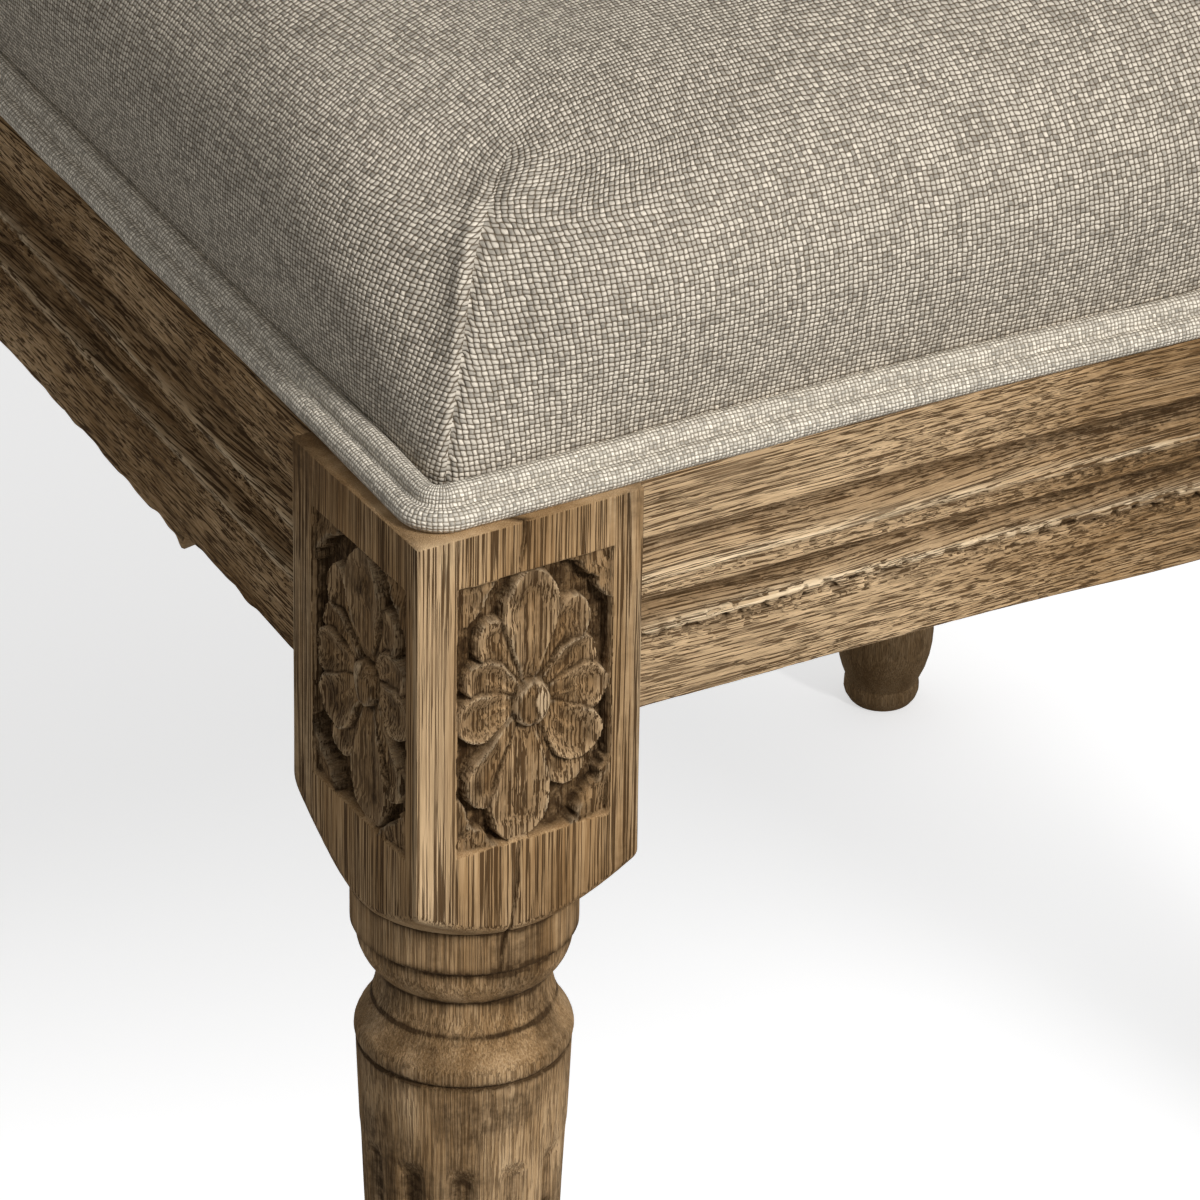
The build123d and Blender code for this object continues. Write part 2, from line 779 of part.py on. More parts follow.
with BuildPart() as lower_back_rail:
    with BuildSketch(back_plane.offset(-stile_depth / 2)):
        with Locations((0, lower_mid)):
            Rectangle(2 * post_inner, lower_rail_height)
    extrude(amount=stile_depth)
    lower_tenon = tenon(lower_joint, small_tenon_height, post_tenon_length)
    add(lower_tenon)
    mirror(lower_tenon, about=Plane.YZ)
    add(back_rebates.part, mode=Mode.SUBTRACT)
    add(frame_groove.part, mode=Mode.SUBTRACT)
save(lower_back_rail, "lower_back_rail")

# Corner blocks under the seat, each notched round its leg and screwed to it
diagonal = corner_thickness * sqrt(2) - inner_chamfer
side_inner_face = Plane(origin=side_front + side_inward * rail_thickness, z_dir=side_inward)
front_inner = rail_face + rail_thickness
back_inner = back_rail_y - rail_thickness / 2
leg_rear = leg_y + half_block
corner_plane = Plane.XY.offset(corner_z - corner_height / 2)

with BuildPart() as corner_block_front_left:
    with BuildSketch(corner_plane):
        with BuildLine():
            Polyline(
                (-front_span, front_inner),
                (-front_span + diagonal + leg_rear - front_inner, front_inner),
                (-half_width, leg_rear + diagonal - front_span + half_width),
                (-half_width, leg_rear),
                (-front_span - inner_chamfer, leg_rear),
                (-front_span, leg_rear - inner_chamfer),
                close=True,
            )
        make_face()
    extrude(amount=corner_height)
    split(bisect_by=side_inner_face, keep=Keep.TOP)
    add(front_screw_hole, mode=Mode.SUBTRACT)
save(corner_block_front_left, "corner_block_front_left")

with BuildPart() as corner_block_front_right:
    mirror(corner_block_front_left.part, about=Plane.YZ)
save(corner_block_front_right, "corner_block_front_right")

with BuildPart() as corner_block_back_left:
    with BuildSketch(corner_plane):
        with BuildLine():
            Polyline(
                (-post_inner, back_inner),
                (-post_inner + diagonal + back_inner - post_front, back_inner),
                (-half_width, post_front - diagonal + post_inner - half_width),
                (-half_width, post_front),
                (-post_inner - inner_chamfer, post_front),
                (-post_inner, post_front + inner_chamfer),
                close=True,
            )
        make_face()
    extrude(amount=corner_height)
    split(bisect_by=side_inner_face, keep=Keep.TOP)
    add(back_screw_hole, mode=Mode.SUBTRACT)
save(corner_block_back_left, "corner_block_back_left")

with BuildPart() as corner_block_back_right:
    mirror(corner_block_back_left.part, about=Plane.YZ)
save(corner_block_back_right, "corner_block_back_right")

with BuildPart() as corner_block_screws:
    for screw in (front_screw, back_screw):
        add(screw)
        mirror(screw, about=Plane.YZ)
save(corner_block_screws, "corner_block_screws")

# Seat webbing: long straps on the front and back rails, cross straps over them on the side rails
strap_lap = rail_setback + rail_thickness / 2
long_reach = post_inner - strap_width
with BuildPart() as seat_webbing_long:
    with Locations((0, (face_y + post_rear) / 2, rail_top)):
        with GridLocations(2 * long_reach / (strap_count - 1), 1, strap_count, 1):
            Box(strap_width, post_rear - face_y - 2 * strap_lap, strap_thickness, align=standing)
save(seat_webbing_long, "seat_webbing_long")

step_x = long_reach + strap_width / 2 + 2 * strap_thickness
cross_start = leg_rear + strap_width
cross_step = (post_front - leg_rear - 2 * strap_width) / (strap_count - 1)
with BuildPart() as seat_webbing_cross:
    for number in range(strap_count):
        strap_y = cross_start + number * cross_step
        reach = side_line(strap_lap, strap_y + strap_width / 2)
        with BuildSketch(Plane.XZ.offset(-strap_y + strap_width / 2)):
            with BuildLine():
                Polyline(
                    (-reach, rail_top),
                    (-step_x - strap_thickness, rail_top),
                    (-step_x, rail_top + strap_thickness),
                    (step_x, rail_top + strap_thickness),
                    (step_x + strap_thickness, rail_top),
                    (reach, rail_top),
                    (reach, rail_top + strap_thickness),
                    (step_x + strap_thickness, rail_top + strap_thickness),
                    (step_x, rail_top + 2 * strap_thickness),
                    (-step_x, rail_top + 2 * strap_thickness),
                    (-step_x - strap_thickness, rail_top + strap_thickness),
                    (-reach, rail_top + strap_thickness),
                    close=True,
                )
            make_face()
        extrude(amount=-strap_width)
save(seat_webbing_cross, "seat_webbing_cross")

# Seat padding and cover
hessian_lift = 2 * strap_thickness
with BuildPart() as seat_hessian:
    add(seat_outline(strap_margin, hessian_lift, seat_corner_radius))
    extrude(amount=hessian_thickness)
    add(post_notches(post_notch_gap + 2 * cover_thickness), mode=Mode.SUBTRACT)
save(seat_hessian, "seat_hessian")

with BuildPart() as seat_foam:
    add(cushion(cover_thickness + foam_gap, hessian_lift + hessian_thickness))
save(seat_foam, "seat_foam")

with BuildPart() as seat_cover:
    add(cushion(0.0, 0.0))
    add(cushion(cover_thickness, 0.0), mode=Mode.SUBTRACT)
save(seat_cover, "seat_cover")

seat_center = Vector(0, (face_y + post_rear) / 2, rail_top)
welt_outline = seat_outline(cord_inset, cord_radius, seat_corner_radius)
seat_cords = double_welt(welt_outline.faces()[0].outer_wire(), seat_center, Vector(0, 0, 1))
with BuildPart() as welt_runs:
    add(seat_cords)
    add(post_notches(post_notch_gap), mode=Mode.SUBTRACT)
with BuildPart() as seat_welt:
    add(welt_runs.solids().sort_by(Axis.Y)[0])
save(seat_welt, "seat_welt")
with BuildPart() as seat_welt_rear:
    add(welt_runs.solids().sort_by(Axis.Y)[-1])
save(seat_welt_rear, "seat_welt_rear")

with BuildPart() as dust_cover:
    add(seat_outline(dust_inset, -rail_height - dust_thickness, seat_corner_radius))
    extrude(amount=dust_thickness)
    for side in (-1, 1):
        with Locations((side * leg_x, leg_y, rail_bottom)):
            Box(leg_block + 2 * dust_gap, leg_block + 2 * dust_gap, leg_block, mode=Mode.SUBTRACT)
        with Locations((side * post_x, post_y, rail_bottom)):
            Box(post_width + 2 * dust_gap, post_depth + 2 * dust_gap, leg_block, mode=Mode.SUBTRACT)
save(dust_cover, "dust_cover")

# Back upholstery, in the raked plane of the back frame
back_lap = rebate_width - back_fit - 3 * cover_thickness
with BuildPart() as back_webbing:
    with BuildSketch(back_plane.offset(front_floor)):
        with Locations((0, opening_mid)):
            with GridLocations(1, opening_height / back_strap_count, 1, back_strap_count):
                Rectangle(opening_width + 2 * back_lap, strap_width)
    extrude(amount=strap_thickness)
save(back_webbing, "back_webbing")

with BuildPart() as back_hessian:
    with BuildSketch(back_plane.offset(front_floor + strap_thickness)):
        with Locations((0, opening_mid)):
            Rectangle(opening_width + 2 * back_lap, opening_height + 2 * back_lap)
    extrude(amount=hessian_thickness)
save(back_hessian, "back_hessian")

pad_rise = rebate_depth + back_crown
foam_lift = strap_thickness + hessian_thickness
front_base = back_plane.offset(front_floor)
with BuildPart() as back_foam:
    add(back_pad(front_base, 1, back_run, pad_rise, cover_thickness + foam_gap))
    split(bisect_by=front_base.offset(foam_lift), keep=Keep.TOP)
save(back_foam, "back_foam")

with BuildPart() as back_cover_front:
    add(back_pad(front_base, 1, back_run, pad_rise, 0.0))
    add(back_pad(front_base, 1, back_run, pad_rise, cover_thickness), mode=Mode.SUBTRACT)
save(back_cover_front, "back_cover_front")

rear_rise = rear_rebate_depth + rear_crown
with BuildPart() as back_cover_rear:
    add(back_pad(back_plane.offset(-rear_floor), -1, rear_run, rear_rise, 0.0))
save(back_cover_rear, "back_cover_rear")

welt_width = opening_width + 2 * rebate_width + 2 * cord_radius
welt_height = opening_height + 2 * rebate_width + 2 * cord_radius
back_center = bend_point + rake_up * opening_mid
for name, facing in (("back_welt_front", 1), ("back_welt_rear", -1)):
    with BuildSketch(back_plane.offset(facing * (stile_depth / 2 + cord_radius))) as welt_shape:
        with Locations((0, opening_mid)):
            RectangleRounded(welt_width, welt_height, back_corner_radius + cord_radius)
    loop = welt_shape.sketch.faces()[0].outer_wire()
    with BuildPart() as back_welt:
        add(double_welt(loop, back_center, rake_front * facing))
    save(back_welt, name)
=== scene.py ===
import itertools
import math

import bpy
import numpy as np
from mathutils import Matrix, Vector


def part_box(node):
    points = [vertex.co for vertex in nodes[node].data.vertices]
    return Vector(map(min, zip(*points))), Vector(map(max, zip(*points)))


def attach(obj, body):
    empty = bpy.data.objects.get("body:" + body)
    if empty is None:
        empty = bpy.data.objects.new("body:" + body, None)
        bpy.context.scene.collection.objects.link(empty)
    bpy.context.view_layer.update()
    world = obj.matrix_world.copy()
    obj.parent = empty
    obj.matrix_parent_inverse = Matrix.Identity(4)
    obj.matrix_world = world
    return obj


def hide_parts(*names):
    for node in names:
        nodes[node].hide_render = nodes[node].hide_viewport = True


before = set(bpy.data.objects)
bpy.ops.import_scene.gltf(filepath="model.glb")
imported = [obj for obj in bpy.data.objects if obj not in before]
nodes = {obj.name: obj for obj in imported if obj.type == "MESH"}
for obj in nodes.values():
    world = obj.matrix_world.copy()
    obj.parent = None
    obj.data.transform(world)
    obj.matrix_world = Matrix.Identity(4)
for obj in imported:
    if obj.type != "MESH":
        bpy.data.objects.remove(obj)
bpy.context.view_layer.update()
scene = bpy.context.scene

# Sizes of the chair in millimetres, as in the part's source, but with the welt 0.2 mm further out
leg_x = 212.0
half_block = 28.0
rail_top = 425.0
block_bottom = 321.0
rail_height = 57.0
rail_thickness = 26.0
rail_setback = 1.4
front_span = 184.0
serpentine_share = 0.61
serpentine_lean = math.tan(math.radians(3.8) / 2)
leg_to_post = 442.0
post_half_depth = 21.0
post_inner = 176.5
post_outer = 216.5
half_width = leg_x + half_block
cord_radius = 2.7
cord_step_in = 4.0
cord_step_up = 3.4
cord_inset = 3.8
bend_height = 445.0
back_rake = math.radians(9.0)
opening_middle = 334.0
low_leg, high_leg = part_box("front_leg_left")
leg_y = (low_leg[1] + high_leg[1]) / 2 * 1000
face_y = leg_y - half_block
post_front = leg_y + leg_to_post - post_half_depth
post_rear = leg_y + leg_to_post + post_half_depth
seat_splay = (half_width - post_outer) / (post_rear - face_y)

# Number helpers


def noise(points, seed):
    """Smooth noise from -1 to 1 at each row of points, the same on every run."""
    lattice = np.random.default_rng(seed).uniform(-1.0, 1.0, 4096)
    cell = np.floor(points).astype(np.int64)
    part = points - cell
    blend = part * part * (3.0 - 2.0 * part)
    total = np.zeros(len(points))
    for corner in itertools.product((0, 1), repeat=points.shape[1]):
        spot = cell + np.array(corner)
        key = spot[:, 0] * 73856093
        for axis, prime in zip(range(1, points.shape[1]), (19349663, 83492791)):
            key = key ^ (spot[:, axis] * prime)
        weight = np.prod(np.where(np.array(corner) == 1, blend, 1.0 - blend), axis=1)
        total += weight * lattice[key % 4096]
    return total


def layered_noise(points, seed, layers=3):
    """Noise with finer and weaker copies of itself added."""
    total = np.zeros(len(points))
    for layer in range(layers):
        total += noise(points * 2.0**layer, seed + layer) / 2.0**layer
    return total


def limited(value):
    """The value kept from 0 to 1."""
    return np.clip(value, 0.0, 1.0)


def positive(value):
    return np.maximum(value, 0.0)


def ease(low, high, value):
    """0 below low, 1 above high and smooth between."""
    t = limited((value - low) / (high - low))
    return t * t * (3.0 - 2.0 * t)


def bell(value, width):
    """1 where value is nought, falling away smoothly over a width on both sides."""
    return np.exp(-((value / width) ** 2))


def unit(vector):
    """The same direction with a length of 1, for one vector or for rows of them."""
    return vector / np.linalg.norm(vector, axis=-1, keepdims=True)


def steps(start, end, size):
    """Even values from start to end, at most size apart."""
    count = max(2, int(math.ceil(abs(end - start) / size)) + 1)
    return np.linspace(start, end, count)


def arc(start, middle, end, count=14):
    """Points on the round arc through three points, without the first."""
    a, b, c = (complex(*point) for point in (start, middle, end))
    ratio = (c - a) / (b - a)
    centre = a + (b - a) * (ratio - abs(ratio) ** 2) / (2j * ratio.imag)
    full_turn = 2 * math.pi
    to_middle, to_end = (np.angle((point - centre) / (a - centre)) % full_turn for point in (b, c))
    sweep = to_end if to_middle < to_end else to_end - full_turn
    points = centre + (a - centre) * np.exp(1j * sweep * np.arange(1, count + 1) / count)
    return list(zip(points.real, points.imag))


def evenly(points, size):
    """The same line with points at most size apart."""
    out = [points[0]]
    for a, b in zip(points[:-1], points[1:]):
        pieces = max(1, int(math.ceil(math.dist(a, b) / size)))
        for k in range(1, pieces + 1):
            out.append(tuple(np.array(a) + (np.array(b) - np.array(a)) * k / pieces))
    return np.array(out)


def travelled(line):
    """How far along a line each of its points lies."""
    return np.concatenate([[0.0], np.cumsum(np.hypot(*np.diff(line, axis=0).T))])


# Mesh helpers


def grid_faces(rows, columns):
    """Quads of a grid of rows by columns, whose last column joins the first."""
    row, column = np.meshgrid(np.arange(rows - 1), np.arange(columns), indexing="ij")
    here = row * columns + column
    beside = row * columns + (column + 1) % columns
    return np.stack([here, beside, beside + columns, here + columns], axis=-1).reshape(-1, 4)


def make_object(name, points, quads, caps=(), uv=None, values=None):
    """A smooth mesh from points in millimetres, with cloth coordinates and named vertex values."""
    mesh = bpy.data.meshes.new(name)
    sizes = [4] * len(quads) + [len(cap) for cap in caps]
    loops = np.concatenate([quads.ravel()] + [np.asarray(cap) for cap in caps]).astype(np.int32)
    starts = np.concatenate([[0], np.cumsum(sizes)[:-1]]).astype(np.int32)
    mesh.vertices.add(len(points))
    mesh.vertices.foreach_set("co", (np.asarray(points) / 1000.0).ravel())
    mesh.loops.add(len(loops))
    mesh.loops.foreach_set("vertex_index", loops)
    mesh.polygons.add(len(sizes))
    mesh.polygons.foreach_set("loop_start", starts)
    mesh.polygons.foreach_set("use_smooth", np.ones(len(sizes), dtype=bool))
    if uv is not None:
        layer = mesh.uv_layers.new(name="cloth")
        full = np.zeros((len(loops), 2))
        full[: uv.size // 2] = uv.reshape(-1, 2)
        layer.data.foreach_set("uv", full.ravel())
    for key, value in (values or {}).items():
        mesh.attributes.new(key, "FLOAT", "POINT").data.foreach_set("value", value.astype(np.float32))
    mesh.update(calc_edges=True)
    mesh.validate()
    thing = bpy.data.objects.new(name, mesh)
    scene.collection.objects.link(thing)
    return thing


def stand_for(thing, node, material):
    """Puts a detailed piece in the place of its CAD node."""
    thing.data.materials.append(material)
    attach(thing, "root")
    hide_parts(*node.split())


# Material helpers


class Graph:
    """A material whose nodes are added and linked in one call each."""

    def __init__(self, name):
        self.material = bpy.data.materials.new(name)
        self.material.use_nodes = True
        self.tree = self.material.node_tree
        self.shader = self.tree.nodes["Principled BSDF"]

    def node(self, kind, inputs, **settings):
        made = self.tree.nodes.new(kind)
        for key, value in settings.items():
            setattr(made, key, value)
        for key, value in inputs.items():
            if isinstance(value, bpy.types.NodeSocket):
                self.tree.links.new(value, made.inputs[key])
            else:
                made.inputs[key].default_value = value
        return made

    def math(self, operation, a, b=0.0):
        return self.node("ShaderNodeMath", {0: a, 1: b}, operation=operation).outputs[0]

    def plus(self, a, b):
        return self.math("ADD", a, b)

    def minus(self, a, b):
        return self.math("SUBTRACT", a, b)

    def times(self, a, b):
        return self.math("MULTIPLY", a, b)

    def stretched(self, vector, scale):
        return self.node("ShaderNodeMapping", {"Vector": vector, "Scale": scale}).outputs[0]

    def noise(self, vector, scale, detail=2.0, rough=0.5):
        inputs = {"Vector": vector, "Scale": scale, "Detail": detail, "Roughness": rough}
        return self.node("ShaderNodeTexNoise", inputs).outputs[0]

    def ramp(self, factor, stops):
        made = self.node("ShaderNodeValToRGB", {"Fac": factor})
        line = made.color_ramp
        while len(line.elements) < len(stops):
            line.elements.new(0.5)
        for element, (position, colour) in zip(line.elements, stops):
            element.position = position
            element.color = (*colour, 1.0)
        return made.outputs[0]

    def step(self, value, low, high):
        inputs = {"Value": value, "From Min": low, "From Max": high}
        return self.node("ShaderNodeMapRange", inputs, interpolation_type="SMOOTHSTEP").outputs[0]

    def mix(self, factor, a, b):
        a, b = (part if isinstance(part, bpy.types.NodeSocket) else (*part, 1.0) for part in (a, b))
        return self.node("ShaderNodeMix", {"Factor": factor, 6: a, 7: b}, data_type="RGBA").outputs[2]

    def bump(self, height, distance, strength=1.0):
        inputs = {"Height": height, "Distance": distance, "Strength": strength}
        self.tree.links.new(self.node("ShaderNodeBump", inputs).outputs[0], self.shader.inputs["Normal"])

    def finish(self, colour, roughness, specular=0.3):
        self.tree.links.new(colour, self.shader.inputs["Base Color"])
        self.shader.inputs["Roughness"].default_value = roughness
        self.shader.inputs["Specular IOR Level"].default_value = specular
        return self.material


oak_tones = (
    # place on the scale from dark to pale, and the colour there
    (0.38, (0.205, 0.112, 0.044)),
    (0.47, (0.330, 0.202, 0.094)),
    (0.54, (0.455, 0.295, 0.152)),
    (0.63, (0.600, 0.415, 0.236)),
)
# Pale colour of wear and of painted highlights
oak_wear_and_highlight = (0.760, 0.595, 0.390)
oak_pore = (0.062, 0.031, 0.011)
# Dark colour of dirt and of painted shade
oak_dirt_and_shade = (0.040, 0.020, 0.007)


def weathered_oak(name, grain, stretch, fine, tone=1.0, sway=0.0, lines=1.0):
    """Open-grained weathered oak with its fibres along one axis.

    The vertex values of a piece say where it holds dirt and painted shade, where it is pale from wear and
    painted highlights, and where it has calm, closed pores.
    """
    g = Graph(name)
    spot = g.node("ShaderNodeTexCoord", {}).outputs["Object"]

    def drawn_out(vector, share):
        return g.stretched(vector, tuple(share if axis == grain else 1.0 for axis in range(3)))

    def given(key):
        return g.node("ShaderNodeAttribute", {}, attribute_name=key).outputs["Fac"]

    def shaded(colour):
        return tuple(tone * c for c in colour)

    lean = g.times(g.minus(g.noise(drawn_out(spot, 0.35), 28.0, 1.0), 0.5), sway)
    swayed = g.node("ShaderNodeVectorMath", {0: spot, 1: lean}, operation="ADD").outputs[0]
    normal = g.node("ShaderNodeNewGeometry", {}).outputs["Normal"]
    facing = g.node("ShaderNodeSeparateXYZ", {0: normal}).outputs[grain]
    long_grain = g.minus(1.0, g.step(g.math("ABSOLUTE", facing), 0.2, 0.75))
    pores = g.noise(drawn_out(swayed, stretch), fine, 2.0, 0.6)
    fibre = g.noise(drawn_out(swayed, stretch * 2.0), fine * 1.4, 3.0, 0.6)
    bands = g.noise(drawn_out(swayed, stretch * 3.0), 150.0, 3.0, 0.55)
    stain = g.noise(drawn_out(swayed, 0.5), 36.0, 4.0, 0.6)
    scale = g.plus(g.times(fibre, 0.34), g.times(bands, 0.26))
    scale = g.plus(scale, g.times(stain, 0.40))
    body = g.ramp(scale, tuple((place, shaded(colour)) for place, colour in oak_tones))
    open_pore = g.minus(1.0, g.step(pores, 0.445, 0.480))
    open_pore = g.times(open_pore, g.times(long_grain, g.step(stain, 0.15, 0.45)))
    open_pore = g.times(open_pore, g.minus(1.0, given("calm")))
    body = g.mix(given("wear_and_highlight"), body, shaded(oak_wear_and_highlight))
    body = g.mix(g.times(open_pore, 0.92 * lines), body, shaded(oak_pore))
    waves = g.noise(spot, 420.0, 3.0, 0.65)
    patchy = g.times(given("dirt_and_shade"), g.plus(0.15, g.times(waves, 1.75)))
    body = g.mix(g.math("MINIMUM", patchy, 0.93), body, oak_dirt_and_shade)
    height = g.minus(g.times(fibre, 0.45), g.times(open_pore, 0.6))
    g.bump(height, 0.0009 * lines)
    return g.finish(body, 0.85, 0.1)


# Place on the scale from dull to bright yarn, and the share of the yarn's colour there
yarn_tones = ((0.28, 0.50), (0.5, 0.86), (0.72, 1.15))


def woven(name, pitch, light, dark, plane=None, depth=0.00045):
    """Plain-woven cloth of one thread pitch in metres, on cloth coordinates or on two object axes."""
    g = Graph(name)
    source = g.node("ShaderNodeTexCoord", {})
    spot = source.outputs["UV" if plane is None else "Object"]
    across, down = plane or (0, 1)
    parts = g.node("ShaderNodeSeparateXYZ", {0: spot})

    def arch(thread):
        return g.math("POWER", g.math("SINE", g.times(g.math("FRACT", thread), math.pi)), 0.6)

    def crossing(upper, lower):
        return g.times(upper, g.plus(0.45, g.times(lower, 0.55)))

    def vector(x, y, z):
        return g.node("ShaderNodeCombineXYZ", {0: x, 1: y, 2: z}).outputs[0]

    shake = g.plus(g.noise(spot, 60.0, 2.0), g.times(g.noise(spot, 420.0, 2.0), 0.5))
    shake = g.times(g.minus(shake, 0.75), pitch * 1.3)
    u = g.math("DIVIDE", g.plus(parts.outputs[across], shake), pitch)
    v = g.math("DIVIDE", g.minus(parts.outputs[down], shake), pitch)
    u_cell, v_cell = g.math("FLOOR", u), g.math("FLOOR", v)
    u_arch, v_arch = arch(u), arch(v)
    odd = g.math("FLOORED_MODULO", g.plus(u_cell, v_cell), 2.0)
    even = g.minus(1.0, odd)
    height = g.plus(g.times(crossing(u_arch, v_arch), even), g.times(crossing(v_arch, u_arch), odd))
    cell = vector(u_cell, v_cell, odd)
    yarn = g.node("ShaderNodeTexWhiteNoise", {"Vector": cell}, noise_dimensions="3D").outputs["Value"]
    slub_warp = g.noise(vector(u_cell, g.times(v, 0.07), 3.0), 1.0, 1.0)
    slub_weft = g.noise(vector(g.times(u, 0.07), v_cell, 9.0), 1.0, 1.0)
    slub = g.plus(g.times(slub_warp, even), g.times(slub_weft, odd))
    shade = g.plus(g.times(slub, 0.65), g.times(yarn, 0.35))
    tones = tuple((place, tuple(share * c for c in light)) for place, share in yarn_tones)
    g.bump(height, depth)
    return g.finish(g.mix(g.step(height, 0.22, 0.88), dark, g.ramp(shade, tones)), 0.92, 0.12)


def speckled(name, low, high, scale, roughness, specular=0.3, metallic=0.0):
    """A plain material with a fine mottle."""
    g = Graph(name)
    spot = g.node("ShaderNodeTexCoord", {}).outputs["Object"]
    grain = g.noise(spot, scale, 4.0, 0.6)
    g.bump(grain, 0.0004, 0.6)
    g.shader.inputs["Metallic"].default_value = metallic
    return g.finish(g.ramp(grain, ((0.35, low), (0.65, high))), roughness, specular)


linen_light = (0.715, 0.640, 0.530)
linen_dark = (0.165, 0.125, 0.082)
welt_light = (0.870, 0.795, 0.670)
welt_dark = (0.420, 0.352, 0.265)
thread_pitch = 0.00118
# Thread pitch, light and dark colour
jute = (0.0022, (0.48, 0.34, 0.18), (0.10, 0.06, 0.03))
hessian = (0.0018, (0.55, 0.42, 0.26), (0.09, 0.06, 0.03))
dust_cloth = (0.0007, (0.035, 0.035, 0.037), (0.012, 0.012, 0.013))
level = (0, 1)
upright = (0, 2)
materials = {
    "oak_upright": weathered_oak("weathered_oak_upright", 2, 0.008, 2300.0, 1.26, 0.0015),
    "oak_across": weathered_oak("weathered_oak_across", 0, 0.012, 3000.0, 1.30, 0.006, 0.95),
    "oak_deep": weathered_oak("weathered_oak_deep", 1, 0.012, 2400.0, 1.0, 0.006),
    # The posts' oak is a darker copy, tone 0.74, painted shade for the seat's shadow on them
    "post_oak_in_painted_shade": weathered_oak("weathered_post_oak_painted_shade", 2, 0.02, 3600.0, 0.74, 0.0, 0.35),
    "linen": woven("linen", thread_pitch, linen_light, linen_dark),
    "welt": woven("linen_welt", thread_pitch * 0.8, welt_light, welt_dark),
    "block_wood": speckled("block_wood", (0.36, 0.24, 0.13), (0.52, 0.37, 0.22), 300.0, 0.6),
    "screw_steel": speckled("screw_steel", (0.45, 0.45, 0.44), (0.62, 0.62, 0.61), 500.0, 0.35, 0.5, 1.0),
    "jute": woven("jute_webbing", *jute, plane=level),
    "back_jute": woven("jute_webbing_back", *jute, plane=upright),
    "hessian": woven("hessian", *hessian, plane=level),
    "back_hessian": woven("hessian_back", *hessian, plane=upright),
    "foam": speckled("foam", (0.62, 0.55, 0.36), (0.80, 0.74, 0.54), 700.0, 0.95),
    "dust_cloth": woven("dust_cloth", *dust_cloth, plane=level),
}

# Front legs

panel_middle = rail_top - 46.2
panel_half_height = 33.8
panel_depth = 4.0
carved_half = 19.2
front_panel_shift = 1.2
side_panel_half = 20.9
side_panel_shift = 1.9
shoulder_radius = 26.4
inner_cut = 11.0
flute_count = 12.0
flute_depth = 2.0
# Drop below the block and spread of each groove of the turned part that holds dirt
turned_grooves = ((0.0, 1.2), (11.8, 1.6), (22.2, 1.4), (31.0, 0.6), (42.2, 0.8), (278.0, 1.0))
petals = (
    # direction in degrees, length and half width of each petal, lowest layer first
    (63.0, 26.0, 5.6),
    (117.0, 25.0, 5.6),
    (-66.0, 25.5, 5.6),
    (145.0, 19.5, 5.4),
    (37.0, 19.0, 5.2),
    (-1.0, 19.0, 6.4),
    (184.0, 19.0, 6.4),
    (-45.0, 22.5, 6.6),
    (-121.0, 27.0, 6.4),
    (91.0, 33.3, 7.2),
    (-97.0, 34.5, 7.6),
)
bud_half_width = 4.6
bud_half_height = 6.0


def petal_shape(u, v, direction, length, half):
    """Shares along and across a spoon-shaped petal, and the distance outside its edge."""
    c, s = math.cos(math.radians(direction)), math.sin(math.radians(direction))
    along = (u * c + v * s) / length
    across = v * c - u * s
    inner = limited(along / 0.66) ** 0.85
    outer = np.sqrt(limited(1.0 - (positive(along - 0.66) / 0.34) ** 2))
    width = half * np.where(along < 0.66, inner, outer)
    outside = np.abs(across) - width
    outside = np.where(along > 1.0, np.maximum(outside, (along - 1.0) * length), outside)
    outside = np.where(along < 0.0, np.maximum(outside, -along * length), outside)
    return along, across / np.maximum(width, 0.05), outside


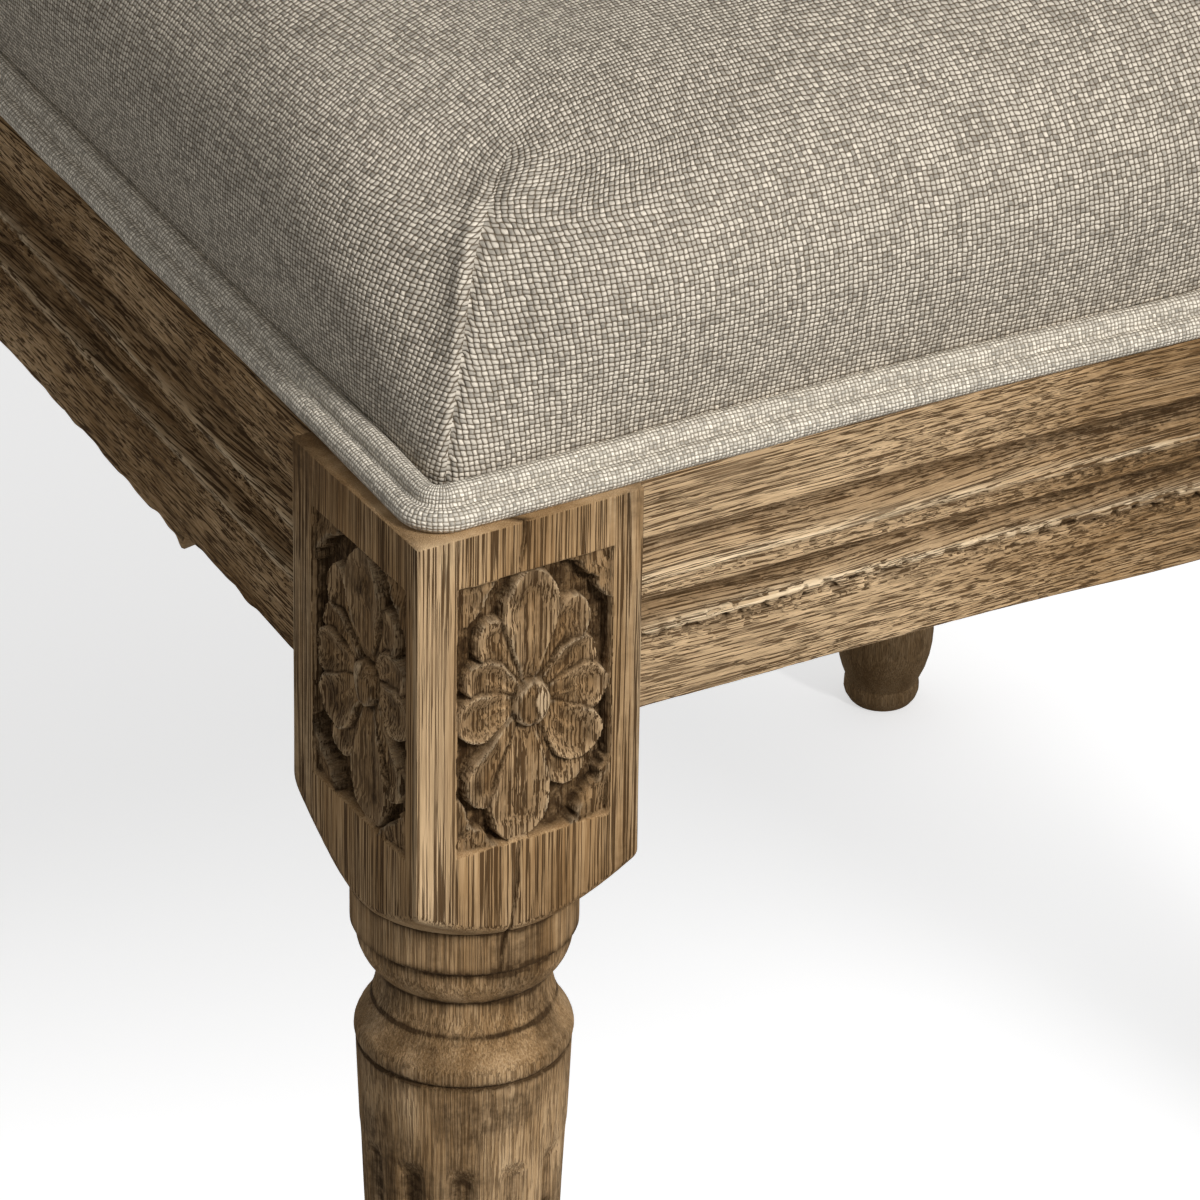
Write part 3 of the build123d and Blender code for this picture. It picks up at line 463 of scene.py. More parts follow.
def carving(u, v, panel_half, seed):
    """Height of the carved panel from the face, how much dirt and painted shade it holds, and how pale it
    is from wear and painted highlights.
    """
    spot = np.stack([u, v], axis=1)
    ragged = 0.5 * noise(spot / 3.0, seed) + 0.3 * noise(spot / 1.1, seed + 1)
    facets = noise(spot / 4.5, seed + 2)
    edge = np.maximum(np.abs(u) - panel_half, np.abs(v) - panel_half_height) + 0.4 * ragged
    sunk = 1.0 - ease(-0.6, 0.1, edge)
    u = u * carved_half / panel_half
    height = -panel_depth + 0.5 * ragged
    # The sunk ground starts dark with dirt and painted shade
    dirt_and_shade = np.full(len(u), 0.80)
    wear_and_highlight = np.zeros(len(u))

    def lay(outside, top, shade, pale):
        """Lays a carved leaf over what is there, with a groove round it painted dark as shade, and a worn
        rim.
        """
        gap = positive(outside)
        inside = 1.0 - ease(-0.35, 0.15, outside)
        rim = bell(outside + 0.5, 0.36) * ease(-0.5, 0.5, ragged + facets)
        height[:] = (height - 0.5 * np.exp(-gap / 0.4)) * (1.0 - inside) + top * inside
        # Painted shade darkens the groove round each leaf, fading over about 0.9 mm
        dirt_and_shade[:] = np.maximum(dirt_and_shade, np.exp(-gap / 0.9)) * (1.0 - inside) + shade * inside
        wear_and_highlight[:] = wear_and_highlight * (1.0 - inside) + np.maximum(0.48 * rim, pale) * inside

    corner = (carved_half - np.abs(u)) + 0.8 * (panel_half_height - np.abs(v))
    leaf_top = -2.0 + 0.16 * corner + 0.6 * facets
    lay(0.7 * (corner - 11.0) + 2.2 * ragged, leaf_top, 0.40 + 0.15 * facets, 0.0)
    for layer, (direction, length, half) in enumerate(petals):
        along, across, outside = petal_shape(u, v, direction, length, half)
        side = 1.0 - limited(np.abs(across)) ** 2
        dish = side * ease(0.2, 0.55, along) * (1.0 - 0.75 * ease(0.78, 1.0, along))
        rib = bell(across, 0.16) * ease(0.2, 0.4, along) * (1.0 - ease(0.6, 0.85, along))
        rise = ease(0.0, 0.62, along) - 0.25 * ease(0.85, 1.0, along)
        top = -3.3 + 2.9 * rise + 0.04 * layer - 1.7 * dish + 0.5 * rib + 0.35 * facets
        # Painted shade darkens each petal towards the bud and in its dish, and its rib is painted lighter
        shade = 0.5 * (1.0 - ease(0.1, 0.45, along)) + 0.45 * dish - 0.3 * rib
        shade = shade + 0.4 * limited(facets)
        # The petal's raised outer part, outside its dish, is painted pale as a highlight
        lay(outside + 0.4 * ragged, top, shade, 0.18 * (1.0 - dish) * ease(0.3, 0.6, along))
    share = np.hypot(u / bud_half_width, (v + 0.6) / bud_half_height)
    crease = bell(u - 0.4 + 0.8 * ragged, 0.45)
    top = -1.8 + 1.8 * np.sqrt(limited(1.0 - share**2)) + 0.7 * facets - 0.5 * crease
    # One side of the bud is painted pale as a highlight, and its crease is darker
    pale = 0.42 * ease(0.5, 1.1, u + 0.8 * ragged) * (1.0 - ease(0.7, 0.95, share))
    lay((share - 1.0) * bud_half_width + 0.8 * ragged, top, 0.34 + 0.3 * crease - 0.7 * pale, pale)
    height = np.minimum(height + 0.15 * ragged, 0.0) * sunk
    shadow = 0.3 * np.exp(-np.abs(edge + 0.4) / 0.5)
    return height, limited((dirt_and_shade + 0.12 * ragged + shadow) * sunk), wear_and_highlight * sunk


def turned_line():
    """Radius and height down the turned part of a front leg, from the block to the floor."""
    top = block_bottom
    line = [(shoulder_radius, top), (25.6, top - 0.2), (25.6, top - 11.0)]
    line += arc((25.6, top - 11.0), (25.2, top - 11.4), (24.2, top - 11.5), 4)
    line += arc((24.2, top - 11.5), (23.3, top - 18.0), (20.3, top - 22.0))
    line += [(19.6, top - 22.2)]
    line += arc((19.6, top - 22.2), (20.4, top - 30.0), (23.8, top - 37.0))
    line += arc((23.8, top - 37.0), (24.6, top - 39.5), (24.3, top - 41.6))
    line += [(23.6, top - 42.2), (24.2, top - 42.9), (15.0, 49.0)]
    line += arc((15.0, 49.0), (17.0, 46.0), (15.0, 43.0), 8)
    line += arc((15.0, 43.0), (12.4, 38.0), (13.4, 34.0), 8)
    line += arc((13.4, 34.0), (14.4, 27.2), (10.8, 8.0), 10)
    line += arc((10.8, 8.0), (11.2, 3.6), (8.5, 0.0), 8)
    return line


def square_loop(half, near_size, far_size):
    """Points round a square from its front left corner, closer together on the front and on the left."""
    near = steps(-half, half, near_size)[:-1]
    far = steps(-half, half, far_size)[:-1]
    sides = (
        (near, np.full(len(near), -half)),
        (np.full(len(far), half), far),
        (-far, np.full(len(far), half)),
        (np.full(len(near), -half), -near),
    )
    return np.concatenate([np.column_stack(side) for side in sides])


def drying_crack(px, py, height):
    """How deep the drying crack in the front is, from 0 to 1: under the panel and over it."""
    wander = 0.8 * noise(np.stack([height / 9.0, height * 0.0], 1), 5)
    line = -2.2 + 0.09 * np.clip(height - 345.0, None, 0.0) + wander
    under = ease(304.0, 322.0, height) * (1.0 - ease(343.0, 346.0, height))
    over = ease(412.0, 415.0, height)
    return bell(px - line, 0.42) * (py < 0) * (under + over)


def front_leg(name, side, fine):
    """A front leg as one skin: carved block, turned mouldings, fluted shaft and foot."""
    h = half_block
    rows_block = steps(rail_top, block_bottom + 0.05, fine)
    turned = evenly(turned_line(), fine * 1.2)
    shaft = (turned[:, 1] < block_bottom - 45.0) & (turned[:, 1] > 60.0)
    turned = turned[~shaft | (np.arange(len(turned)) % 3 == 0)]
    loop = square_loop(h, fine, 1.4)
    columns = len(loop)
    rows = len(rows_block) + len(turned)
    x = np.tile(loop[:, 0], rows)
    y = np.tile(loop[:, 1], rows)
    turn = np.arctan2(y, x)
    height = np.repeat(np.concatenate([rows_block, turned[:, 1]]), columns)
    rear = ease(-0.3, 0.6, np.sin(turn))
    corner_radius = h * math.sqrt(2.0)
    rise = (height - block_bottom) / (11.0 + 3.5 * rear)
    cone = shoulder_radius + (corner_radius - shoulder_radius) * rise
    on_block = height > block_bottom + 0.01
    turned_radius = np.repeat(np.concatenate([np.zeros(len(rows_block)), turned[:, 0]]), columns)
    limit = np.where(on_block, cone, turned_radius)
    fibres = layered_noise(np.stack([x / 1.6, y / 1.6, height / 45.0], 1), 11, 2)
    slow = noise(np.stack([x / 14.0, y / 14.0, height / 22.0], 1), 17)

    # The square block, with rounded arrises and the inner edge cut off
    away = 2 * h - np.abs(x) - np.abs(y)
    arris = 0.8 + 0.6 * np.clip(slow, -0.6, 1.0) + 0.4 * fibres
    lost = positive(arris - away) ** 2 / (2.2 * np.maximum(arris, 0.4))
    inner = positive((x + y) - (2 * h - inner_cut)) / math.sqrt(2.0)
    block = np.hypot(x, y) - lost - inner
    soften = 2.2 + 3.0 * rear
    gap = np.clip(block - limit, -soften, None)
    rounded = np.where(gap > soften, limit, block - (gap + soften) ** 2 / (4 * soften))
    flute_turn = np.cos(flute_count * turn)
    in_flute = (1.0 - ease(block_bottom - 70.0, block_bottom - 64.0, height)) * ease(61.0, 66.0, height)
    radius = np.where(on_block, rounded, limit - flute_depth * ease(-0.55, 1.0, flute_turn) * in_flute)
    px = radius * np.cos(turn)
    py = radius * np.sin(turn)

    # The carved panels on the front and on the outer side
    # Painted shade darkens the block towards its bottom, where its shoulder turns down, and the block is
    # also darker towards its top
    dirt_and_shade = 0.22 * on_block * (1.0 - ease(326.0, 344.0, height) + ease(410.0, 424.0, height))
    blotch = ease(-0.3, 0.6, noise(np.stack([x / 16.0, y / 16.0, height / 9.0], 1), 29))
    dirt_and_shade = dirt_and_shade + 0.24 * on_block * ease(17.0, 24.0, px) + (0.22 + 0.36 * blotch) * ~on_block
    wear_and_highlight = 0.55 * np.exp(-away / 1.5) * on_block * ease(-0.4, 0.5, slow)
    wear_and_highlight = wear_and_highlight + 0.20 * on_block * (1.0 - ease(-22.0, -16.0, px)) * (py < -h + 2.0)
    dirt_and_shade = dirt_and_shade + 0.34 * on_block * ease(14.0, 22.0, py) * (px < -h + 2.0)
    v = height - panel_middle
    flat = on_block & (height > block_bottom + 12.0)
    front = flat & (np.abs(py + h) < 0.9)
    outer = flat & (np.abs(px + h) < 0.9) & ~front
    panels = (
        # points of the panel, place across it, half its width, seed, and the value that is cut into
        (front, px - front_panel_shift, carved_half, 41, py),
        (outer, py + side_panel_shift, side_panel_half, 57, px),
    )
    for panel, across, panel_half, seed, deep in panels:
        cut, hold, pale = carving(across[panel], v[panel], panel_half, seed)
        deep[panel] -= cut
        dirt_and_shade[panel] += hold
        wear_and_highlight[panel] += pale

    # A drying crack down the front, fine wear along the grain, and dirt in the turned grooves
    crack = drying_crack(px, py, height)
    inward = -1.2 * crack + 0.05 * fibres + 0.12 * slow
    norm = np.maximum(np.hypot(px, py), 1.0)
    on_front = on_block & (py < -h + 6.0) & (np.abs(px) < h - 1.0)
    on_side = on_block & ~on_front & (np.abs(px) > h - 6.0)
    px = px + inward * np.where(on_front, 0.0, np.where(on_side, np.sign(px), px / norm))
    py = py + inward * np.where(on_front, -1.0, np.where(on_side, 0.0, py / norm))
    dirt_and_shade = dirt_and_shade + 0.7 * crack
    for drop, spread in turned_grooves:
        groove = 0.9 * bell(block_bottom - height - drop, spread) * ~on_block
        dirt_and_shade = dirt_and_shade + groove * (0.75 + 0.4 * slow)
    dirt_and_shade = dirt_and_shade + 0.30 * in_flute * ease(0.0, 1.0, flute_turn) * ~on_block
    points = np.stack([side * (leg_x - px), py + leg_y, height], 1)
    quads = grid_faces(rows, columns)
    if side < 0:
        quads = quads[:, ::-1]
    caps = (np.arange(columns), np.arange((rows - 1) * columns, rows * columns))
    calm = 0.45 * ~on_block
    values = {"dirt_and_shade": limited(dirt_and_shade), "wear_and_highlight": limited(wear_and_highlight), "calm": calm}
    leg = make_object(name + "_carved", points, quads, caps, values=values)
    stand_for(leg, name, materials["oak_upright"])


front_leg("front_leg_left", -1, 0.36)
front_leg("front_leg_right", 1, 0.8)

# Seat rails

# Start below the rail top, width and depth of each cove
coves = ((14.0, 9.2, 4.0), (29.4, 6.6, 3.2))
# Middle below the rail top and spread of the lip under each cove
cove_lips = ((24.4, 1.0), (37.3, 1.4))
lip_height = 0.8
torn_length = 62.0


def rail_face(depth):
    """How far the moulded face stands out of its flat, by the distance down from the rail top."""
    face = np.full(len(depth), -0.5)
    for start, width, hollow in coves:
        face = face - hollow * np.sin(limited((depth - start) / width) * math.pi) ** 0.8
    for middle, spread in cove_lips:
        face = face + lip_height * bell(depth - middle, spread)
    return face


def serpentine(along, span):
    """How far the serpentine front swells forward at a distance from the middle."""
    t = limited(1.0 - np.abs(along) / span)
    hollow = t**2 / serpentine_share
    swell = 1.0 - (1.0 - t) ** 2 / (1.0 - serpentine_share)
    return span * serpentine_lean * np.where(t < serpentine_share, hollow, swell)


def moulded_rail(name, start, end, bow, size, seed, material, damage=0.0, painted_light_falloff=0.0):
    """A seat rail swept from start to end in plan, moulded outside and rough along its grain.

    damage is the place along it where the lower edge breaks off, and the last argument how strongly
    painted light brightens its start and painted shade darkens it further along.
    """
    start, end = np.array(start), np.array(end)
    run = np.linalg.norm(end - start)
    ahead = (end - start) / run
    out = np.array([ahead[1], -ahead[0]])
    along = steps(0.0, run, size)
    down = steps(0.0, rail_height, size * 0.5)
    rest = steps(rail_height, 0.0, 4.0)
    s = np.repeat(along, len(down))
    d = np.tile(down, len(along))

    def rough(long, tall, number, layers=2):
        return layered_noise(np.stack([s / long, d / tall], 1), seed + number, layers)

    def band(middle, spread):
        return bell(d - middle, spread)

    hollow = band(18.4, 3.2) + band(32.6, 2.4)
    coarse = rough(45.0, 2.2, 0)
    fine = rough(14.0, 0.5, 10)
    cracks = ease(0.30, 0.70, fine + 0.4 * coarse) * (1.0 - 0.65 * limited(hollow))
    patch = ease(-0.1, 0.6, rough(40.0, 9.0, 20, 1))
    soft_spots = (band(26.8, 1.8) + band(40.2, 2.5)) * (0.35 + 0.65 * patch) + 0.10 * patch
    eaten = ease(0.0, 0.42, rough(2.0, 1.2, 30)) * limited(soft_spots)
    face = rail_face(d + 0.35 * rough(25.0, 8.0, 40, 1))
    face = face - 0.32 * cracks + 0.12 * fine + 0.18 * coarse - 1.3 * eaten
    edge = np.clip(0.8 + 0.5 * coarse, 0.1, 2.0)
    face = face - positive(edge - d) ** 2 - positive(edge - (rail_height - d)) ** 2
    shown = np.clip(0.62 + 0.55 * fine - 0.5 * cracks - 1.2 * eaten, 0.0, 0.9)
    # The lips under the coves are painted pale, partly as wear and partly as painted highlight
    lips = limited(band(24.0, 1.0) + band(37.0, 1.1)) * shown
    # Painted light: the start of the rail is painted pale as a pool of light
    lips = lips + painted_light_falloff * (1.0 - ease(45.0, 130.0, s)) * (1.0 - 0.6 * limited(hollow))
    # Dirt in the cracks and eaten spots, and painted shade in the coves
    dirt_and_shade = 0.20 * cracks + 0.95 * eaten + 0.46 * hollow + 0.12 * patch * band(50.0, 12.0)
    # Painted shade darkens the rail further along, where the light falls off
    dirt_and_shade = dirt_and_shade + 0.9 * painted_light_falloff * bell(s - 150.0, 48.0) * (1.0 - 0.7 * lips)
    drop = np.zeros(len(s))
    if damage > 0:
        torn = -3.0 * ease(-1.2, 1.2, damage - s) - 2.4 * bell(s - damage + 1.5, 2.0)
        drop = -(torn + 0.6 * rough(6.0, 400.0, 50, 1)) * ease(rail_height - 6.0, rail_height, d)
    spot = start + ahead * s[:, None] + out * (face + bow(s))[:, None]
    front = np.column_stack([spot, rail_top - d - drop]).reshape(len(along), len(down), 3)
    back = start + ahead * np.repeat(along, len(rest))[:, None] - out * rail_thickness
    rear = np.column_stack([back, rail_top - np.tile(rest, len(along))]).reshape(len(along), len(rest), 3)
    points = np.concatenate([front, rear], axis=1)
    width = len(down) + len(rest)
    plain = np.zeros((len(along), len(rest)))
    values = {}
    for key, value in (("dirt_and_shade", dirt_and_shade), ("wear_and_highlight", lips)):
        outside = limited(value).reshape(len(along), len(down))
        values[key] = np.concatenate([outside, plain], axis=1).ravel()
    caps = (np.arange(width)[::-1], np.arange((len(along) - 1) * width, len(along) * width))
    quads = grid_faces(len(along), width)
    rail = make_object(name + "_moulded", points.reshape(-1, 3), quads, caps, values=values)
    stand_for(rail, name, material)


rail_y = face_y + rail_setback
front_ends = (-front_span, rail_y), (front_span, rail_y)


def front_bow(s):
    return serpentine(s - front_span, front_span)


moulded_rail("front_rail", *front_ends, front_bow, 0.45, 71, materials["oak_across"], painted_light_falloff=0.26)
rail_outer = half_width - rail_setback
rail_rear = post_outer - rail_setback
rail_start = leg_y + half_block
for side, name, detail in ((-1, "side_rail_left", 0.6), (1, "side_rail_right", 1.2)):
    ends = [(side * rail_rear, post_front), (side * rail_outer, rail_start)]
    reach = math.dist(*ends)
    if side > 0:
        ends.reverse()
    torn_from = reach - torn_length if side < 0 else 0.0
    moulded_rail(name, *ends, np.zeros_like, detail, 83 + side, materials["oak_deep"], torn_from)

# Padded covers


side_profile = (
    # inset from the outline and height above the rail, in the middle of a side
    (10.8, 0.0), (9.4, 7.0), (6.4, 22.0), (5.2, 33.0), (6.6, 43.5),
    (10.4, 52.0), (16.3, 59.5), (23.7, 66.2), (32.3, 71.6), (42.0, 76.0),
    (58.0, 81.5), (80.0, 86.5), (110.0, 90.5), (145.0, 92.5), (205.0, 93.0),
)
corner_profile = (
    # the same along the seam at a corner
    (10.8, 0.0), (10.8, 7.0), (13.6, 18.5), (17.0, 28.0), (20.6, 39.0),
    (24.0, 49.0), (28.0, 55.0), (33.0, 57.6), (39.0, 60.0), (46.0, 63.5),
    (60.0, 69.5), (80.0, 77.0), (110.0, 86.0), (145.0, 91.5), (205.0, 93.0),
)


def smooth_line(table, count):
    """Points evenly spaced along a smooth line through those of a table, and how far along each lies."""
    table = np.array(table)
    knots = travelled(table)
    slopes = np.gradient(table, knots, axis=0)
    spots = np.linspace(0.0, knots[-1], count)
    k = np.clip(np.searchsorted(knots, spots) - 1, 0, len(knots) - 2)
    gap = (knots[k + 1] - knots[k])[:, None]
    t = ((spots - knots[k])[:, None]) / gap
    h00, h10 = 2 * t**3 - 3 * t**2 + 1, t**3 - 2 * t**2 + t
    h01, h11 = -2 * t**3 + 3 * t**2, t**3 - t**2
    line = h00 * table[k] + h10 * gap * slopes[k] + h01 * table[k + 1] + h11 * gap * slopes[k + 1]
    return line, spots


def half_angle_between(one, other):
    return math.acos(np.clip(one @ other, -1.0, 1.0)) / 2


def rounded_ring(corners, radius, per_side, per_corner):
    """A quadrilateral with rounded corners.

    Gives its points, how far each is from the nearest rounded corner, and the side it belongs to.
    """
    points, nearest, edge = [], [], []
    for k in range(4):
        before, here, after, next_one = (corners[(k + j) % 4] for j in (-1, 0, 1, 2))
        to_before, to_after = unit(before - here), unit(after - here)
        half_angle = half_angle_between(to_before, to_after)
        cut = radius / math.tan(half_angle)
        centre = here + unit(to_before + to_after) * radius / math.sin(half_angle)
        first = here + to_before * cut - centre
        last = here + to_after * cut - centre
        sweep = math.atan2(first[0] * last[1] - first[1] * last[0], first @ last)
        for t in np.linspace(0.0, 1.0, per_corner, endpoint=False):
            c, s = math.cos(sweep * t), math.sin(sweep * t)
            points.append(centre + np.array([first[0] * c - first[1] * s, first[0] * s + first[1] * c]))
            nearest.append(0.0)
            edge.append((k - 1) % 4 if t < 0.5 else k)
        next_angle = half_angle_between(-to_after, unit(next_one - after))
        start = here + to_after * cut
        end = after - to_after * radius / math.tan(next_angle)
        for t in np.linspace(0.0, 1.0, per_side, endpoint=False):
            points.append(start + (end - start) * t)
            nearest.append(min(t, 1.0 - t) * np.linalg.norm(end - start))
            edge.append(k)
    return np.array(points), np.array(nearest), np.array(edge)


def padded_cover(corner_points, bow, sides, seams, corner_reach, rings, per_side, per_corner, round_base):
    """Rings of a crowned pad from its foot to its middle, and the side that each column belongs to.

    Points have their height in the third place.
    """
    side_line = smooth_line(sides, rings)[0]
    seam_line = smooth_line(seams, rings)[0]
    ring_points = []
    for k in range(rings):
        inset, seam_inset = side_line[k, 0], seam_line[k, 0]
        deepest = max(inset, seam_inset)
        corners = corner_points(deepest)
        shortest = min(math.dist(corners[0], corners[1]), math.dist(corners[1], corners[2]))
        radius = min(round_base + 0.20 * deepest, 0.4 * shortest)
        ring, near, edge = rounded_ring(corner_points(inset), radius, per_side, per_corner)
        seam_ring = rounded_ring(corner_points(seam_inset), radius, per_side, per_corner)[0]
        if k == 0:
            # 1 at a corner and 0 from corner_reach on
            share = limited(1.0 - near / corner_reach)[:, None] ** 2
        ring = ring * (1.0 - share) + seam_ring * share
        height = side_line[k, 1] * (1.0 - share[:, 0]) + seam_line[k, 1] * share[:, 0]
        ring[:, 1] -= bow(ring[:, 0], inset) * (edge == 0)
        ring_points.append(np.column_stack([ring, height]))
    return np.array(ring_points), edge


def blur_rings(rows, spread):
    """Smooths each ring along itself, each by its own number of points."""
    waves = np.fft.rfftfreq(rows.shape[1])
    keep = np.exp(-2.0 * (math.pi * spread[:, None] * waves[None]) ** 2)
    return np.fft.irfft(np.fft.rfft(rows, axis=1) * keep[:, :, None], rows.shape[1], axis=1)


def seat_half(inset, y):
    return half_width - (y - face_y) * seat_splay - inset * math.sqrt(1 + seat_splay**2)


def seat_corners(inset):
    front, rear = face_y + inset, post_rear - inset
    wide, narrow = seat_half(inset, front), seat_half(inset, rear)
    return [np.array(p) for p in ((-wide, front), (wide, front), (narrow, rear), (-narrow, rear))]


def seat_bow(x, inset):
    wide = seat_half(inset, face_y + inset)
    return serpentine(x, max(0.3 * wide, wide - 2 * half_block - 0.5 * inset))


def seat_place(plan, lift):
    """Puts points of a plan and their heights above the rails into the chair's frame."""
    return np.concatenate([plan, (rail_top + lift)[..., None]], axis=-1)


def back_place(facing, base):
    """The same for the raked back frame, in front of its middle plane or, with facing -1, behind it."""
    up = np.array([0.0, math.sin(back_rake), math.cos(back_rake)])
    out = facing * np.array([0.0, -math.cos(back_rake), math.sin(back_rake)])
    origin = np.array([0.0, leg_y + leg_to_post, bend_height]) + out * base

    def place(plan, lift):
        across = plan[..., :1] * np.array([1.0, 0.0, 0.0])
        return origin + across + plan[..., 1:] * up + lift[..., None] * out

    return place


def seat_cloth(rows):
    """Cloth coordinates for each side of the seat: its plan on top, the cloth's length down its walls."""
    rings, columns = rows.shape[:2]
    x, y = rows[:, :, 0], rows[:, :, 1]
    line, travel = smooth_line(side_profile, rings)
    flat = int(np.argmax(line[:, 0] > 62.0))
    inset = line[flat, 0]
    wall = positive(travel[flat] - travel)[:, None]
    settle = ease(travel[flat] - 36.0, travel[flat], travel)[:, None]
    step = np.linalg.norm(np.diff(rows, axis=0), axis=2)
    length = np.concatenate([np.zeros((1, columns)), np.cumsum(step, axis=0)])
    drop = positive(length[flat] - length)
    plan = np.where(np.arange(rings)[:, None, None] < flat, rows[flat], rows)
    sides = (
        (1, -1, face_y + inset - seat_bow(x, inset)),
        (0, 1, seat_half(inset, y)),
        (1, 1, np.full(x.shape, post_rear - inset)),
        (0, -1, -seat_half(inset, y)),
    )
    cloth = np.zeros((4, rings, columns, 2))
    for number, (axis, outward, edge) in enumerate(sides):
        cloth[number, :, :, 1 - axis] = rows[:, :, 1 - axis]
        on_wall = edge + outward * wall
        on_top = plan[:, :, axis] + outward * drop
        cloth[number, :, :, axis] = on_wall * (1.0 - settle) + on_top * settle
    return cloth


def corner_offsets(corner, columns, per_side, per_corner):
    """The column in the middle of a corner, and how many columns each column lies from it."""
    column = corner * (per_side + per_corner) + per_corner // 2
    return column, (np.arange(columns) - column + columns // 2) % columns - columns // 2


def join_cloth(cloth, rows, per_side, per_corner):
    """Lets the cloth of two sides run into each other round a corner, above its seam."""
    joined = cloth.copy()
    for corner in range(4):
        column, offset = corner_offsets(corner, rows.shape[1], per_side, per_corner)
        near = 0.5 * limited(1.0 - np.abs(offset) / 60.0) ** 2
        share = (near * ease(54.0, 63.0, rows[:, column, 2])[:, None])[:, :, None]
        for here, other in ((corner, corner - 1), (corner - 1, corner)):
            joined[here] += share * (cloth[other] - cloth[here])
    return joined.reshape(4, -1, 2)


# Corners of the seat: how far the seam draws the cloth in, and where its ear and fold are
seam_reach = 62.0
ear_offset = 3.5
ear_height = 59.5
fold_height = 54.0
post_gap = 0.8


def seat_cover():
    """The crowned seat: bulging walls, a seam down each corner, tucked in round the back posts."""
    per_side, per_corner, rings = 300, 24, 150
    rows, edge = padded_cover(
        seat_corners, seat_bow, side_profile, corner_profile, seam_reach, rings, per_side, per_corner, 7.0
    )
    columns = rows.shape[1]
    rows = blur_rings(rows, 4.0 + 46.0 * ease(52.0, 84.0, rows[:, per_side // 2 + per_corner, 2]))
    cloth = join_cloth(seat_cloth(rows), rows, per_side, per_corner)
    z = rows[:, :, 2].copy()
    for corner in range(4):
        column, offset = corner_offsets(corner, columns, per_side, per_corner)
        away = offset * np.linalg.norm(rows[12, (column + 1) % columns] - rows[12, column])
        fade = (1.0 - ease(55.0, 61.0, z)) * ease(4.0, 9.0, z)
        groove = 0.4 * bell(away + 1.5, 1.1) - 0.8 * bell(away - 0.4, 0.7)
        outward = unit(rows[:, column, :2] - np.array([0.0, leg_y + 0.5 * leg_to_post]))
        knob = bell(away - ear_offset, 3.6) * bell(z - ear_height, 3.0)
        fold = bell(away - ear_offset, 3.0) * bell(z - fold_height, 1.7)
        ridge = bell(away + 2.2, 1.7) * ease(22.0, 50.0, z) * (1.0 - ease(57.0, 64.0, z))
        push = groove * fade + 2.4 * knob - 1.3 * fold + 1.0 * ridge
        rows[:, :, :2] += push[:, :, None] * outward[:, None]
        rows[:, :, 2] += 2.2 * knob + 0.6 * ridge
    soft = noise(rows.reshape(-1, 3) / np.array([55.0, 55.0, 30.0]), 23).reshape(z.shape)
    rows[:, :, 2] += 0.35 * soft * ease(8.0, 40.0, z)
    past_x = np.abs(rows[:, :, 0]) - (post_inner - post_gap)
    past_y = rows[:, :, 1] - (post_front - post_gap)
    behind = (past_x > 0) & (past_y > 0)
    to_x = behind & (past_x < past_y)
    rows[:, :, 0] = np.where(to_x, np.sign(rows[:, :, 0]) * (post_inner - post_gap), rows[:, :, 0])
    rows[:, :, 1] = np.where(behind & ~to_x, post_front - post_gap, rows[:, :, 1])
    points = seat_place(rows[:, :, :2], rows[:, :, 2]).reshape(-1, 3)
    quads = grid_faces(rings, columns)
    edge_of_face = edge[quads[:, 0] % columns]
    top = np.arange((rings - 1) * columns, rings * columns)
    uv = np.concatenate([cloth[edge_of_face[:, None], quads].reshape(-1, 2), points[top, :2]]) / 1000.0
    cover = make_object("seat_cover_sewn", points, quads, (top, np.arange(columns)[::-1]), uv=uv)
    stand_for(cover, "seat_cover seat_foam", materials["linen"])


panel_half_width = 187.4
panel_half_tall = 180.9


def back_corners(inset):
    wide, tall = panel_half_width - inset, panel_half_tall - inset
    spots = ((-wide, -tall), (wide, -tall), (wide, tall), (-wide, tall))
    return [np.array((x, y + opening_middle)) for x, y in spots]


# Inset and height up the edge of each back cover
front_edge = (
    (0.0, 0.0), (0.8, 5.0), (2.4, 10.0), (7.6, 17.4), (16.0, 23.4),
    (29.0, 28.4), (43.0, 31.9), (58.0, 34.4), (110.0, 36.0),
)
rear_edge = (
    (0.0, 0.0), (0.5, 2.3), (2.0, 4.3), (4.1, 5.9),
    (7.0, 7.1), (10.4, 8.0), (14.0, 8.6), (40.0, 9.0),
)
back_covers = (
    # cover, the node inside it, side it faces, its base, how full it is, and its edge
    ("back_cover_front", " back_foam", 1, 10.0, 0.9, front_edge),
    ("back_cover_rear", "", -1, 11.0, 0.4, rear_edge),
)


def back_cover(name, inside, facing, base, fill, profile):
    """A crowned cover on the back frame, a little lower at its corners."""
    low = tuple((inset, 0.93 * height) for inset, height in profile)
    rows = padded_cover(back_corners, lambda x, inset: 0.0 * x, profile, low, 60.0, 40, 70, 10, 6.0)[0]
    rings, columns = rows.shape[:2]
    points = back_place(facing, base)(rows[:, :, :2], rows[:, :, 2]).reshape(-1, 3)
    quads = grid_faces(rings, columns)
    top = np.arange((rings - 1) * columns, rings * columns)
    foot = np.arange(columns)[::-1]
    if facing < 0:
        quads, top, foot = quads[:, ::-1], top[::-1], foot[::-1]
    plan = rows[:, :, :2].reshape(-1, 2) / 1000.0
    uv = np.concatenate([plan[quads].reshape(-1, 2), plan[top]])
    cover = make_object(name + "_sewn", points, quads, (top, foot), uv=uv)
    stand_for(cover, name + inside, materials["linen"])


seat_cover()
for row in back_covers:
    back_cover(*row)

# Double welts


def cord_pair():
    """Section of two cords side by side under one cloth: distances inward and up, with its length."""
    low_turns = np.radians(np.linspace(280.0, 74.0, 22))
    high_turns = np.radians(np.linspace(184.0, -15.0, 24))
    low = np.column_stack([np.cos(low_turns), np.sin(low_turns) + 1.0]) * cord_radius
    high = np.column_stack([np.cos(high_turns), np.sin(high_turns) + 1.0]) * cord_radius
    line = np.concatenate([low, high + np.array([cord_step_in, cord_step_up])])
    return line, travelled(line)


